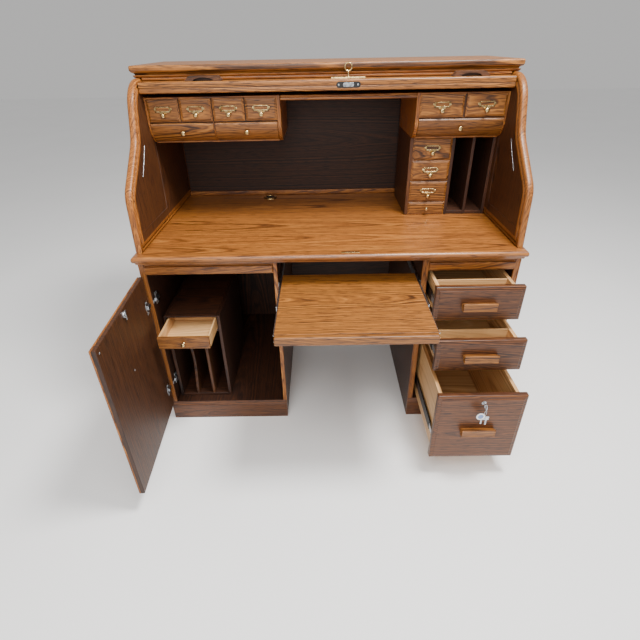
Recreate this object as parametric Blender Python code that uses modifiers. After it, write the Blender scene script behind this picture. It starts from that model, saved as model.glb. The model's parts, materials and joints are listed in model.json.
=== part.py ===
"""Roll top desk in oak: two pedestals, a keyboard tray, a door, and a rolling tambour over two galleries.

Inside this script y is 0 at the front edge of the desktop and grows towards the back, x is 0 on the desk's
middle plane and z is 0 on the floor. The empty called desk_frame moves all of it so that the origin ends up
under the middle of the whole object.
"""

import math

import bmesh
import bpy

# The carcase
DESKTOP_WIDTH = 1.3608
DESKTOP_DEPTH = 0.762
DESKTOP_HEIGHT = 0.762
DESKTOP_THICKNESS = 0.030
BOARD_GAP = 0.0003  # between boards that touch
CUT_PAST = 0.010  # a cutter runs this far past the open side of its hollow
EDGE_ROUND = 0.0015  # eased edges of a board
PEDESTAL_FRONT = 0.030
PEDESTAL_BACK = 0.745
PEDESTAL_OUTSIDE = 0.6714
SIDE_THICKNESS = 0.0204
LEFT_KNEE_X = -0.184  # the knee hole's left and right walls
RIGHT_KNEE_X = 0.3285
LEFT_INNER_THICKNESS = 0.014
RIGHT_INNER_THICKNESS = 0.0211
PLINTH_HEIGHT = 0.088
PLINTH_PROUD = 0.007
FLOOR_THICKNESS = 0.018
PANEL_THICKNESS = 0.006  # plywood backs
MODESTY_BOTTOM = 0.25
MODESTY_BACK = 0.739
MODESTY_THICKNESS = 0.012

# The upper part
END_INSIDE = 0.645  # inner faces of the S shaped ends
END_THICKNESS = 0.0264  # flush with the pedestals outside
END_TOP = 1.278
S_START_Y = 0.036
S_START_HEADING = 85.0  # degrees above the horizontal
S_LEGS = (("line", 0.165), ("arc", 0.085, -43.0), ("line", 0.150), ("arc", 0.110, 27.0),
          ("line", 0.085), ("arc", 0.115, -69.0))
UPPER_BACK = 0.757
TOP_BOARD_HALF_WIDTH = 0.680
TOP_BOARD_FRONT = 0.356
TOP_BOARD_LOW = 1.286
TOP_BOARD_HIGH = 1.316
TOP_STEP_INSET = 0.006  # the moulding under the top board stands back by this
HEADER_FRONT = 0.365
HEADER_DEPTH = 0.020
HEADER_HEIGHT = 0.0095
FALSE_BACK_FRONT = 0.731
FALSE_BACK_TOP = 1.200

# The tambour
TRACK_OFFSET = 0.022  # the curtain's middle line, inside the S edge
BAR_LOW = (0.315, 1.232)  # y and z of the lift bar's lower front edge when it is open
BAR_HIGH = (0.385, 1.268)
BAR_HALF_LENGTH = 0.643
BAR_SHUT_TURN = 85.0
BAR_INSET = 0.006  # the bar's middle, inside the curtain's middle line
SLAT_PITCH = 0.0195
SLATS_PER_SECTION = (5, 5, 5, 4, 5, 5)
CURTAIN_THICKNESS = 0.007
SECTION_TRIM = 0.003  # taken off each end of a section
REAR_CHANNEL_Y = 0.7472  # middle of the gap between the two backs
LIFT_CENTRES = (-0.4205, 0.492)
LIFT_LENGTH = 0.125
LIFT_HOLLOW = 0.070
LIFT_HEIGHT = 0.015
LIFT_Y = (0.007, 0.035)  # from the bar's front
LIFT_HOLLOW_BACK = 0.022
LIFT_CROWN = 0.004  # wood left above the finger hollow
BAR_KEY_X = 0.074
BAR_KEY_Y = 0.335

# The galleries
GALLERY_FRONT = 0.345
GALLERY_BACK = 0.680
GALLERY_TOP = 1.2185
GALLERY_BOTTOM = 1.0620
GALLERY_CURVE_TOP = 1.1365
GALLERY_CURVE_DEPTH = 0.055
GALLERY_WALL = 0.0064
GALLERY_PARTITION = 0.005
GALLERY_PANEL = 0.013
GALLERY_ROWS = ((1.139, 1.2135), (1.0685, 1.134))
MIDDLE_SHELF_THICKNESS = 0.016
LEFT_GALLERY_X = (-0.6447, -0.165)
RIGHT_GALLERY_X = (0.318, 0.6447)
RIGHT_ROW_SPLIT = (0.487, 0.496)
STACK_FRONT = 0.400
STACK_X = (0.3315, 0.479)
STACK_CELLS = ((0.760, 0.8135), (0.8170, 0.8965), (0.9005, 0.9765), (0.9790, 1.0620))
SLOTS_X = ((0.491, 0.555), (0.567, 0.632))
SLOTS_Z = (0.776, 1.0620)
SMALL_DRAWER_PLAY = 0.0008
SMALL_DRAWER_FRONT = 0.012
CURVED_DRAWER_FRONT = 0.010  # behind the depth of the curve
SMALL_DRAWER_WALL = 0.007
SMALL_DRAWER_BOTTOM = 0.005
SMALL_DRAWER_BACK = 0.660

# What opens in the pedestals, at the places where it stands open
SLIDE_Z = (0.690, 0.716)
SLIDE_FRONT = 0.0225
SLIDE_DEPTH = 0.400
SLIDE_SHOULDER = 0.014  # the slide's lip is wider than its board by this on each side
SLIDE_STEP = 0.004  # and taller by this above and below
SLIDE_PLAY = 0.001
RAIL_SETBACK = 0.002
RAIL_DEPTH = 0.020
RAIL_GAP = 0.0015
TRAY_HALF_PLAY = 0.0127  # room for a runner on each side
TRAY_FRONT = -0.3235
TRAY_DEPTH = 0.4165
TRAY_TOP = 0.645
TRAY_LIP = 0.029
TRAY_THICKNESS = 0.019
TRAY_LIP_DEPTH = 0.020
RUNNER_LENGTH = 0.400
RUNNER_FACES = (0.0045, 0.0080)  # out from the tray's edge
RUNNER_Z = (-0.033, -0.003)  # from the tray's top
DOOR_Z = (0.0895, 0.683)
DOOR_THICKNESS = 0.019
DOOR_HINGE_GAP = 0.0036
DOOR_LATCH_X = -0.200
DOOR_PIVOT = (-0.669, 0.041)
DOOR_OPEN_TURN = 87.0
HINGE_HEIGHTS = (0.187, 0.572)
HINGE_PLATE_Y = (0.062, 0.084)
HINGE_PLATE_THICKNESS = 0.003
HINGE_ARM_Y = (0.053, 0.086)
HINGE_ARM_REACH = 0.0092
HINGE_HALF_HEIGHTS = (0.024, 0.007)  # of the plate and of its arm
RIGHT_DRAWERS = (  # name, open front face y, bottom z, top z, depth of the box
    ("upper_drawer", -0.095, 0.552, 0.682, 0.450),
    ("middle_drawer", -0.190, 0.408, 0.533, 0.450),
    ("file_drawer", -0.289, 0.0895, 0.380, 0.500),
)
RIGHT_DRAWER_X = (0.351, 0.650)
FRONT_THICKNESS = 0.019
BOX_WALL = 0.012
BOX_BOTTOM = 0.006
RUNNER_ROOM = 0.0127
BOX_RAISED = 0.012  # the box's bottom above the front's, and its top below the front's
BOX_LOWERED = 0.020
CROSS_PARTITION = 0.008
CROSS_PARTITION_SHARE = 0.19  # of the box's depth
PULL_LENGTH = 0.125
PULL_Z = (0.615, 0.470, 0.229)
FILE_KEY_X = 0.504
FILE_KEY_Z = 0.353
CASE_X = (-0.641, -0.424)
CASE_FRONT = 0.068
CASE_BACK = 0.480
CASE_TOP = 0.487
CASE_WALL = 0.012
CASE_DRAWER_CELL = (0.430, 0.481)
CASE_DRAWER_FRONT = -0.068
CASE_DRAWER_DEPTH = 0.200
CASE_DRAWER_PLAY = 0.0025
CASE_SLOTS = 3
KEYHOLE = 0.006

# The two flat keys
KEY_THICKNESS = 0.0022
KEY_STEM_WIDTH = 0.004
KEY_REACH = 0.012  # how far a key goes into its lock
BOW_HOLE_SHARE = 0.55

OAK = (0.245, 0.095, 0.030)
DARK_OAK = (0.100, 0.036, 0.014)
BIRCH = (0.560, 0.390, 0.210)
STEEL = (0.180, 0.180, 0.185)
BRASS = (0.620, 0.430, 0.160)


# Bookkeeping: a clean scene, collections, materials, the frame


def clear_scene():
    for thing in list(bpy.data.objects):
        bpy.data.objects.remove(thing, do_unlink=True)


def new_collection(name):
    collection = bpy.data.collections.new(name)
    bpy.context.scene.collection.children.link(collection)
    return collection


def new_empty(name, location, parent=None, turn=(0.0, 0.0, 0.0)):
    empty = bpy.data.objects.new(name, None)
    empty.empty_display_size = 0.05
    empty.location = location
    empty.rotation_euler = turn
    empty.parent = parent
    parts.objects.link(empty)
    return empty


def new_material(name, colour, roughness, metallic):
    material = bpy.data.materials.new(name)
    material.use_nodes = True
    shader = material.node_tree.nodes["Principled BSDF"]
    shader.inputs["Base Color"].default_value = (*colour, 1.0)
    shader.inputs["Roughness"].default_value = roughness
    shader.inputs["Metallic"].default_value = metallic
    return material


def finish(thing, kind):
    """Give a piece a material of its own: the wood or metal it is made of, under the piece's name."""
    colour, roughness, metallic = FINISHES[kind]
    thing.data.materials.append(new_material(thing.name + "_" + kind, colour, roughness, metallic))
    thing["made_of"] = kind


# Shapes: a board, a cut, a join, an outline carried sideways


def box_mesh(name, low, high, origin):
    """A box between two corners, with its vertices measured from the origin given."""
    shape = bmesh.new()
    bmesh.ops.create_cube(shape, size=1.0)
    size = [h - l for l, h in zip(low, high)]
    bmesh.ops.scale(shape, vec=size, verts=shape.verts)
    middle = [(l + h) / 2 - o for l, h, o in zip(low, high, origin)]
    bmesh.ops.translate(shape, vec=middle, verts=shape.verts)
    mesh = bpy.data.meshes.new(name)
    shape.to_mesh(mesh)
    shape.free()
    return mesh


def board(name, low, high, kind="oak", rounding=EDGE_ROUND, parent=None, origin=None):
    """A board between two corners. Its origin is its middle, or the point given when it turns about one."""
    if origin is None:
        origin = [(l + h) / 2 for l, h in zip(low, high)]
    piece = bpy.data.objects.new(name, box_mesh(name, low, high, origin))
    parts.objects.link(piece)
    if parent is None:
        piece.parent = desk_frame
        piece.location = origin
    else:
        piece.parent = parent
    if rounding:
        edges = piece.modifiers.new("eased_edges", "BEVEL")
        edges.width = rounding
        edges.segments = 1
    finish(piece, kind)
    return piece


def helper_box(target, low, high, operation):
    """Cut a box out of a piece, or join one to it, with a hidden helper that keeps the Boolean live."""
    middle = [(l + h) / 2 for l, h in zip(low, high)]
    name = "{}_{}_{}".format(target.name, operation.lower(), len(target.modifiers))
    helper = bpy.data.objects.new(name, box_mesh(name, low, high, middle))
    cutters.objects.link(helper)
    helper.parent = desk_frame
    helper.location = middle
    helper.hide_render = True
    helper.display_type = "WIRE"
    boolean = target.modifiers.new(operation.lower(), "BOOLEAN")
    boolean.operation = operation
    boolean.solver = "EXACT"
    boolean.object = helper


def cut(target, low, high):
    helper_box(target, low, high, "DIFFERENCE")


def join(target, low, high):
    helper_box(target, low, high, "UNION")


def flat_outline(name, outlines, thickness, kind, parent, location, turn):
    """A flat piece: closed outlines in its own XY plane, filled and thickened. The later ones are holes."""
    curve = bpy.data.curves.new(name, "CURVE")
    curve.dimensions = "2D"
    curve.fill_mode = "BOTH"
    curve.extrude = thickness / 2
    for outline in outlines:
        spline = curve.splines.new("POLY")
        spline.points.add(len(outline) - 1)
        for point, (a, b) in zip(spline.points, outline):
            point.co = (a, b, 0.0, 1.0)
        spline.use_cyclic_u = True
    drawn = bpy.data.objects.new(name + "_curve", curve)
    parts.objects.link(drawn)
    drawn.parent = parent
    drawn.location = location
    drawn.rotation_euler = turn
    bpy.context.view_layer.update()
    mesh = bpy.data.meshes.new_from_object(drawn.evaluated_get(bpy.context.evaluated_depsgraph_get()))
    shape = bmesh.new()
    shape.from_mesh(mesh)
    bmesh.ops.remove_doubles(shape, verts=shape.verts, dist=0.00001)
    bmesh.ops.recalc_face_normals(shape, faces=shape.faces)
    shape.to_mesh(mesh)
    shape.free()
    mesh.name = name
    piece = bpy.data.objects.new(name, mesh)
    parts.objects.link(piece)
    piece.parent = parent
    piece.matrix_world = drawn.matrix_world
    bpy.data.objects.remove(drawn, do_unlink=True)
    finish(piece, kind)
    return piece


def profile(name, outline, x_low, x_high, kind="oak", pivot=None, parent=None):
    """An outline in y and z, carried from x_low to x_high. With a pivot it is drawn about that point."""
    centre = pivot or (0.0, 0.0)
    points = [(y - centre[0], z - centre[1]) for y, z in outline]
    middle = (x_low + x_high) / 2
    # the curve's own x, y and z become the desk's y, z and x
    turn = (math.radians(90), 0.0, math.radians(90))
    place = (middle, 0.0, 0.0) if parent is not None else (middle, *centre)
    return flat_outline(name, [points], x_high - x_low, kind, parent or desk_frame, place, turn)


# Paths in the y and z plane: the S edge, the curtain's track


def along(start, heading, legs, distance):
    """Where a point is, and which way it goes, after a distance along a path of lines and arcs."""
    y, z = start
    for leg in legs:
        if leg[0] == "line":
            step = min(distance, leg[1])
            y += step * math.cos(heading)
            z += step * math.sin(heading)
            length = leg[1]
        else:
            radius, turn = leg[1], math.radians(leg[2])
            length = radius * abs(turn)
            side = math.copysign(1.0, turn)
            swept = side * min(distance, length) / radius
            y += side * radius * (math.sin(heading + swept) - math.sin(heading))
            z -= side * radius * (math.cos(heading + swept) - math.cos(heading))
            heading += swept
        distance -= length
        if distance <= 0:
            return y, z, heading
    return y + distance * math.cos(heading), z + distance * math.sin(heading), heading


def inner_legs(legs, offset):
    """The same path moved inwards: bends towards the inside get tighter and the others wider."""
    moved = []
    for leg in legs:
        if leg[0] == "line":
            moved.append(leg)
        else:
            moved.append(("arc", leg[1] + math.copysign(offset, leg[2]), leg[2]))
    return moved


def marks(legs, bend_step):
    """Distances along a path that show its shape: both ends of each line, and steps round each arc."""
    distances = [0.0]
    for leg in legs:
        if leg[0] == "line":
            distances.append(distances[-1] + leg[1])
        else:
            steps = math.ceil(abs(leg[2]) / bend_step)
            step = leg[1] * math.radians(abs(leg[2])) / steps
            distances += [distances[-1] + step * (i + 1) for i in range(steps)]
    return distances


def pole_between(here, there, turn):
    """The point about which a turn, in radians, carries one place to another."""
    reach = 0.5 / math.tan(turn / 2)
    dy, dz = there[0] - here[0], there[1] - here[1]
    return (here[0] + there[0]) / 2 - reach * dz, (here[1] + there[1]) / 2 + reach * dy


def track():
    """The start, heading and legs of the curtain's middle line, up from the desktop."""
    heading = math.radians(S_START_HEADING)
    start = (S_START_Y + TRACK_OFFSET * math.sin(heading), DESKTOP_HEIGHT - TRACK_OFFSET * math.cos(heading))
    return start, heading, inner_legs(S_LEGS, TRACK_OFFSET)


# The desk's fixed pieces


def make_desktop():
    half = DESKTOP_WIDTH / 2
    low = DESKTOP_HEIGHT - DESKTOP_THICKNESS
    top = board("desktop", (-half, 0.0, low), (half, DESKTOP_DEPTH, DESKTOP_HEIGHT), rounding=0.008)
    top.modifiers["eased_edges"].segments = 2


def make_top_board():
    """The top board over its moulding, with the rail between the ends that hides the stored tambour."""
    front, back = TOP_BOARD_FRONT, DESKTOP_DEPTH
    top = board("top_board", (-TOP_BOARD_HALF_WIDTH, front, TOP_BOARD_LOW),
                (TOP_BOARD_HALF_WIDTH, back, TOP_BOARD_HIGH), rounding=0.006)
    step = END_INSIDE + END_THICKNESS
    overlap = 0.004
    join(top, (-step, front + TOP_STEP_INSET, END_TOP + BOARD_GAP),
         (step, back - 0.004, TOP_BOARD_LOW + overlap))
    width = END_INSIDE - BOARD_GAP
    join(top, (-width, HEADER_FRONT, END_TOP - HEADER_HEIGHT),
         (width, HEADER_FRONT + HEADER_DEPTH, END_TOP + overlap))


def make_ends():
    heading = math.radians(S_START_HEADING)
    start = (S_START_Y, DESKTOP_HEIGHT + BOARD_GAP)
    edge = [along(start, heading, S_LEGS, s)[:2] for s in marks(S_LEGS, 9.0)]
    lift = END_TOP - edge[-1][1]
    outline = [(y, z + lift * (z - start[1]) / (edge[-1][1] - start[1])) for y, z in edge]
    outline += [(UPPER_BACK, END_TOP), (UPPER_BACK, start[1])]
    for side, name in ((-1, "end_panel_left"), (1, "end_panel_right")):
        faces = sorted((side * END_INSIDE, side * (END_INSIDE + END_THICKNESS)))
        profile(name, outline, *faces)


def make_backs():
    width = END_INSIDE - BOARD_GAP
    base = DESKTOP_HEIGHT + BOARD_GAP
    board("inner_back", (-width, FALSE_BACK_FRONT, base),
          (width, FALSE_BACK_FRONT + PANEL_THICKNESS, FALSE_BACK_TOP), "dark_oak", 0.0)
    outside = END_INSIDE + END_THICKNESS
    board("outer_back", (-outside, UPPER_BACK + BOARD_GAP, base), (outside, DESKTOP_DEPTH, END_TOP),
          "dark_oak", 0.0)


def make_pedestal(side, knee_x, inner_thickness):
    """Two sides, a floor with its plinth and a back. side is -1 for the left one and 1 for the right."""
    name = "left_pedestal" if side < 0 else "right_pedestal"
    ceiling = DESKTOP_HEIGHT - DESKTOP_THICKNESS - BOARD_GAP
    outside = side * PEDESTAL_OUTSIDE
    outer_inside = side * (PEDESTAL_OUTSIDE - SIDE_THICKNESS)
    inner_inside = knee_x + side * inner_thickness
    outer = sorted((outside, outer_inside))
    inner = sorted((knee_x, inner_inside))
    board(name + "_outer_side", (outer[0], PEDESTAL_FRONT, 0.0), (outer[1], PEDESTAL_BACK, ceiling))
    board(name + "_inner_side", (inner[0], PEDESTAL_FRONT, 0.0), (inner[1], PEDESTAL_BACK, ceiling),
          "dark_oak")
    within = sorted((outer_inside, inner_inside))
    within = (within[0] + BOARD_GAP, within[1] - BOARD_GAP)
    back = PEDESTAL_BACK - PANEL_THICKNESS
    board(name + "_back", (within[0], back, 0.0), (within[1], PEDESTAL_BACK, ceiling), "dark_oak", 0.0)
    across = sorted((outside, knee_x))
    plinth_back = PEDESTAL_FRONT - BOARD_GAP
    base = board(name + "_base", (across[0], PEDESTAL_FRONT - PLINTH_PROUD, 0.0),
                 (across[1], plinth_back, PLINTH_HEIGHT))
    join(base, (within[0], plinth_back - 0.002, PLINTH_HEIGHT - FLOOR_THICKNESS),
         (within[1], back - BOARD_GAP, PLINTH_HEIGHT - 0.001))
    return within


def make_modesty_panel():
    ceiling = DESKTOP_HEIGHT - DESKTOP_THICKNESS - BOARD_GAP
    board("modesty_panel", (LEFT_KNEE_X + BOARD_GAP, MODESTY_BACK - MODESTY_THICKNESS, MODESTY_BOTTOM),
          (RIGHT_KNEE_X - BOARD_GAP, MODESTY_BACK, ceiling), "dark_oak")


def make_slide(name, within):
    """A writing slide, shut, in the slotted frame that carries it."""
    ceiling = DESKTOP_HEIGHT - DESKTOP_THICKNESS - BOARD_GAP
    low, high = SLIDE_Z[0] + SLIDE_STEP, SLIDE_Z[1] - SLIDE_STEP
    left, right = within[0] + SLIDE_SHOULDER, within[1] - SLIDE_SHOULDER
    front = PEDESTAL_FRONT + RAIL_SETBACK
    back = front + RAIL_DEPTH
    frame = board(name + "_frame", (within[0], front, SLIDE_Z[0] - 0.0065), (within[1], back, ceiling))
    cut(frame, (left - SLIDE_PLAY, front - CUT_PAST, low - SLIDE_PLAY),
        (right + SLIDE_PLAY, back + CUT_PAST, high + SLIDE_PLAY))
    slide = board(name, (within[0] + RAIL_GAP, SLIDE_FRONT, SLIDE_Z[0]),
                  (within[1] - RAIL_GAP, front - BOARD_GAP, SLIDE_Z[1]))
    join(slide, (left, front - 0.003, low), (right, SLIDE_FRONT + SLIDE_DEPTH, high))


def make_rails(within):
    """The two rails between the drawers on the right."""
    for name, above, below in (("upper_drawer_rail", 0, 1), ("lower_drawer_rail", 1, 2)):
        low = RIGHT_DRAWERS[below][3] + RAIL_GAP
        high = RIGHT_DRAWERS[above][2] - RAIL_GAP
        board(name, (within[0], PEDESTAL_FRONT, low), (within[1], PEDESTAL_FRONT + RAIL_DEPTH, high))


# The galleries and the case in the left pedestal


def curved_front(z):
    """The y of the rounded front under the gallery's upper row, at a height: a quarter of an ellipse."""
    share = (GALLERY_CURVE_TOP - z) / (GALLERY_CURVE_TOP - GALLERY_BOTTOM)
    return GALLERY_FRONT + GALLERY_CURVE_DEPTH * (1 - math.sqrt(max(0.0, 1 - share * share)))


def curved_front_points(z_high, z_low, count):
    """Points down the rounded front between two heights, evenly spaced in its angle."""
    tall = GALLERY_CURVE_TOP - GALLERY_BOTTOM
    first = math.asin((GALLERY_CURVE_TOP - z_high) / tall)
    last = math.asin(min(1.0, (GALLERY_CURVE_TOP - z_low) / tall))
    angles = [first + (last - first) * i / count for i in range(count + 1)]
    return [(curved_front(z), z) for z in (GALLERY_CURVE_TOP - tall * math.sin(angle) for angle in angles)]


def even_cells(low, high, count, wall):
    """The x ranges of equal cells with partitions between them."""
    width = (high - low - wall * (count - 1)) / count
    return [(low + i * (width + wall), low + i * (width + wall) + width) for i in range(count)]


def cut_cells(case, cells):
    for (x_low, x_high), (z_low, z_high) in cells:
        cut(case, (x_low, GALLERY_FRONT - CUT_PAST, z_low), (x_high, GALLERY_BACK - GALLERY_WALL, z_high))


def gallery_outline():
    """The side view of a gallery: straight down the front, round under and back along the bottom."""
    outline = [(GALLERY_FRONT, GALLERY_TOP)] + curved_front_points(GALLERY_CURVE_TOP, GALLERY_BOTTOM, 8)
    return outline + [(GALLERY_BACK, GALLERY_BOTTOM), (GALLERY_BACK, GALLERY_TOP)]


def make_small_drawer(name, cell_x, cell_z, front):
    """A drawer that fills its cell, with a hollow open at the top."""
    play = SMALL_DRAWER_PLAY
    low = (cell_x[0] + play, front, cell_z[0] + play)
    high = (cell_x[1] - play, SMALL_DRAWER_BACK, cell_z[1] - play)
    drawer = board(name, low, high, "oak", 0.002)
    hollow_drawer(drawer, low, high, front + SMALL_DRAWER_FRONT)


def hollow_drawer(drawer, low, high, hollow_front):
    wall = SMALL_DRAWER_WALL
    cut(drawer, (low[0] + wall, hollow_front, low[2] + SMALL_DRAWER_BOTTOM),
        (high[0] - wall, high[1] - wall, high[2] + CUT_PAST))


def make_curved_drawer(name, cell_x, cell_z):
    play = SMALL_DRAWER_PLAY
    z_low, z_high = cell_z[0] + play, cell_z[1] - play
    back = SMALL_DRAWER_BACK
    outline = curved_front_points(z_high, z_low, 7) + [(back, z_low), (back, z_high)]
    x_low, x_high = cell_x[0] + play, cell_x[1] - play
    drawer = profile(name, outline, x_low, x_high)
    hollow_drawer(drawer, (x_low, GALLERY_FRONT, z_low), (x_high, back, z_high),
                  GALLERY_FRONT + GALLERY_CURVE_DEPTH + CURVED_DRAWER_FRONT)


def make_left_gallery():
    """Its top shelf runs on across the middle of the desk to the right gallery."""
    x_low, x_high = LEFT_GALLERY_X
    case = profile("gallery_left_case", gallery_outline(), x_low, x_high)
    join(case, (x_high - 0.002, GALLERY_FRONT, GALLERY_TOP - MIDDLE_SHELF_THICKNESS),
         (RIGHT_GALLERY_X[0] - BOARD_GAP, GALLERY_BACK, GALLERY_TOP))
    inside = (x_low + GALLERY_WALL, x_high - GALLERY_PANEL)
    upper = even_cells(*inside, 4, GALLERY_PARTITION)
    lower = even_cells(*inside, 2, GALLERY_PARTITION)
    cut_cells(case, [(x, GALLERY_ROWS[0]) for x in upper] + [(x, GALLERY_ROWS[1]) for x in lower])
    for i, x in enumerate(upper):
        make_small_drawer("left_label_drawer_{}".format(i + 1), x, GALLERY_ROWS[0], GALLERY_FRONT)
    for i, x in enumerate(lower):
        make_curved_drawer("left_curved_drawer_{}".format(i + 1), x, GALLERY_ROWS[1])


def make_right_gallery():
    x_low, x_high = RIGHT_GALLERY_X
    case = profile("gallery_right_case", gallery_outline(), x_low, x_high)
    inside = (x_low + GALLERY_PANEL + 0.0005, x_high - GALLERY_WALL)
    upper = ((inside[0], RIGHT_ROW_SPLIT[0]), (RIGHT_ROW_SPLIT[1], inside[1]))
    cut_cells(case, [(x, GALLERY_ROWS[0]) for x in upper] + [(inside, GALLERY_ROWS[1])])
    for i, x in enumerate(upper):
        make_small_drawer("right_label_drawer_{}".format(i + 1), x, GALLERY_ROWS[0], GALLERY_FRONT)
    make_curved_drawer("right_curved_drawer", inside, GALLERY_ROWS[1])


def make_stack():
    """Under the right gallery, open at the top against its bottom: four drawers and two upright slots."""
    floor = DESKTOP_HEIGHT + BOARD_GAP
    x_low, x_high = RIGHT_GALLERY_X
    stack = board("gallery_right_stack", (x_low, STACK_FRONT, floor),
                  (x_high, GALLERY_BACK, GALLERY_BOTTOM - BOARD_GAP), rounding=0.0)
    cut_cells(stack, [(STACK_X, z) for z in STACK_CELLS] + [(x, SLOTS_Z) for x in SLOTS_X])
    for i, (z_low, z_high) in enumerate(STACK_CELLS):
        z_low = max(z_low, floor)
        make_small_drawer("stack_drawer_{}".format(i + 1), STACK_X, (z_low, z_high), STACK_FRONT)


def case_slots():
    """The x ranges of the upright slots under the small drawer."""
    inside = (CASE_X[0] + CASE_WALL, CASE_X[1] - CASE_WALL)
    return even_cells(*inside, CASE_SLOTS, CASE_WALL)


def make_case():
    """The open case beside the computer space: a drawer over three upright slots."""
    floor = PLINTH_HEIGHT - 0.001 + BOARD_GAP
    case = board("slot_case", (CASE_X[0], CASE_FRONT, floor), (CASE_X[1], CASE_BACK, CASE_TOP), "dark_oak")
    inside = (CASE_X[0] + CASE_WALL, CASE_X[1] - CASE_WALL)
    back = CASE_BACK - CASE_WALL
    front = CASE_FRONT - CUT_PAST
    cut(case, (inside[0], front, CASE_DRAWER_CELL[0]), (inside[1], back, CASE_DRAWER_CELL[1]))
    for x_low, x_high in case_slots():
        cut(case, (x_low, front, floor + CASE_WALL), (x_high, back, CASE_DRAWER_CELL[0] - CASE_WALL))
    low = (inside[0] + CASE_DRAWER_PLAY, CASE_DRAWER_FRONT, CASE_DRAWER_CELL[0] + 0.001)
    high = (inside[1] - CASE_DRAWER_PLAY, CASE_DRAWER_FRONT + CASE_DRAWER_DEPTH, CASE_DRAWER_CELL[1] - 0.001)
    drawer = board("case_drawer", low, high, "birch", 0.0015)
    hollow_drawer(drawer, low, high, CASE_DRAWER_FRONT + SMALL_DRAWER_FRONT)


# The tray, the big drawers, the door


def make_tray():
    x_low, x_high = LEFT_KNEE_X + TRAY_HALF_PLAY, RIGHT_KNEE_X - TRAY_HALF_PLAY
    lip_back = TRAY_FRONT + TRAY_LIP_DEPTH
    tray = board("keyboard_tray", (x_low, TRAY_FRONT, TRAY_TOP - TRAY_LIP), (x_high, lip_back, TRAY_TOP),
                 rounding=0.003)
    join(tray, (x_low, lip_back - 0.004, TRAY_TOP - TRAY_THICKNESS),
         (x_high, TRAY_FRONT + TRAY_DEPTH, TRAY_TOP - 0.0001))
    # a runner is half way between the tray's place and the one it has when it is shut
    start = (TRAY_FRONT + PEDESTAL_FRONT) / 2 + 0.010
    for name, edge, side in (("tray_runner_left", x_low, -1), ("tray_runner_right", x_high, 1)):
        faces = sorted(edge + side * face for face in RUNNER_FACES)
        board(name, (faces[0], start, TRAY_TOP + RUNNER_Z[0]),
              (faces[1], start + RUNNER_LENGTH, TRAY_TOP + RUNNER_Z[1]), "steel", 0.0008)


def pull_outline(front, height):
    """The section of a wooden block pull, with a finger groove under it."""
    shape = ((0.0, 0.011), (-0.016, 0.016), (-0.023, 0.0145), (-0.026, 0.007), (-0.025, -0.007),
             (-0.019, -0.0155), (-0.011, -0.011), (0.0, -0.0155))
    return [(front - BOARD_GAP + y, height + z) for y, z in shape]


def make_pull(name, front, centre, height):
    pull = profile(name, pull_outline(front, height), centre - PULL_LENGTH / 2, centre + PULL_LENGTH / 2)
    ends = pull.modifiers.new("eased_ends", "BEVEL")
    ends.width = 0.002
    ends.segments = 1
    ends.angle_limit = math.radians(60)


def make_right_drawers():
    x_low, x_high = RIGHT_DRAWER_X
    for (name, front, z_low, z_high, depth), pull_z in zip(RIGHT_DRAWERS, PULL_Z):
        front_back = front + FRONT_THICKNESS
        drawer = board(name, (x_low, front, z_low), (x_high, front_back, z_high), "oak", 0.004)
        box_low = (x_low + RUNNER_ROOM, front_back - 0.004, z_low + BOX_RAISED)
        box_high = (x_high - RUNNER_ROOM, front_back + depth, z_high - BOX_LOWERED)
        join(drawer, box_low, box_high)
        hollow = (front_back + 0.004, box_high[1] - BOX_WALL)
        spaces = [hollow]
        if name != "file_drawer":
            middle = front_back + CROSS_PARTITION_SHARE * depth
            spaces = [(hollow[0], middle - CROSS_PARTITION / 2), (middle + CROSS_PARTITION / 2, hollow[1])]
        for near, far in spaces:
            cut(drawer, (box_low[0] + BOX_WALL, near, box_low[2] + BOX_BOTTOM),
                (box_high[0] - BOX_WALL, far, box_high[2] + CUT_PAST))
        make_pull(name + "_pull", front, (x_low + x_high) / 2, pull_z)
        if name == "file_drawer":
            half = KEYHOLE / 2
            cut(drawer, (FILE_KEY_X - half, front - CUT_PAST, FILE_KEY_Z - half),
                (FILE_KEY_X + half, front + 0.015, FILE_KEY_Z + half))


def make_door():
    """The door hangs on an empty at its pivot, which turns it open."""
    turn = (0.0, 0.0, -math.radians(DOOR_OPEN_TURN))
    pivot = new_empty("door_pivot", (*DOOR_PIVOT, 0.0), desk_frame, turn)
    hinge_x = -(PEDESTAL_OUTSIDE - SIDE_THICKNESS) + DOOR_HINGE_GAP
    door_back = PEDESTAL_FRONT + DOOR_THICKNESS
    board("door", (hinge_x, PEDESTAL_FRONT, DOOR_Z[0]), (DOOR_LATCH_X, door_back, DOOR_Z[1]),
          parent=pivot, origin=(*DOOR_PIVOT, 0.0), rounding=0.003)
    wall = -(PEDESTAL_OUTSIDE - SIDE_THICKNESS) + BOARD_GAP
    plate_half, arm_half = HINGE_HALF_HEIGHTS
    for name, z in zip(("lower_hinge_plate", "upper_hinge_plate"), HINGE_HEIGHTS):
        plate = board(name, (wall, HINGE_PLATE_Y[0], z - plate_half),
                      (wall + HINGE_PLATE_THICKNESS, HINGE_PLATE_Y[1], z + plate_half), "steel", 0.0006)
        join(plate, (wall + 0.001, HINGE_ARM_Y[0], z - arm_half),
             (wall + HINGE_ARM_REACH, HINGE_ARM_Y[1], z + arm_half))


# The tambour: lift bar, keys and the sections of the curtain


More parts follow.
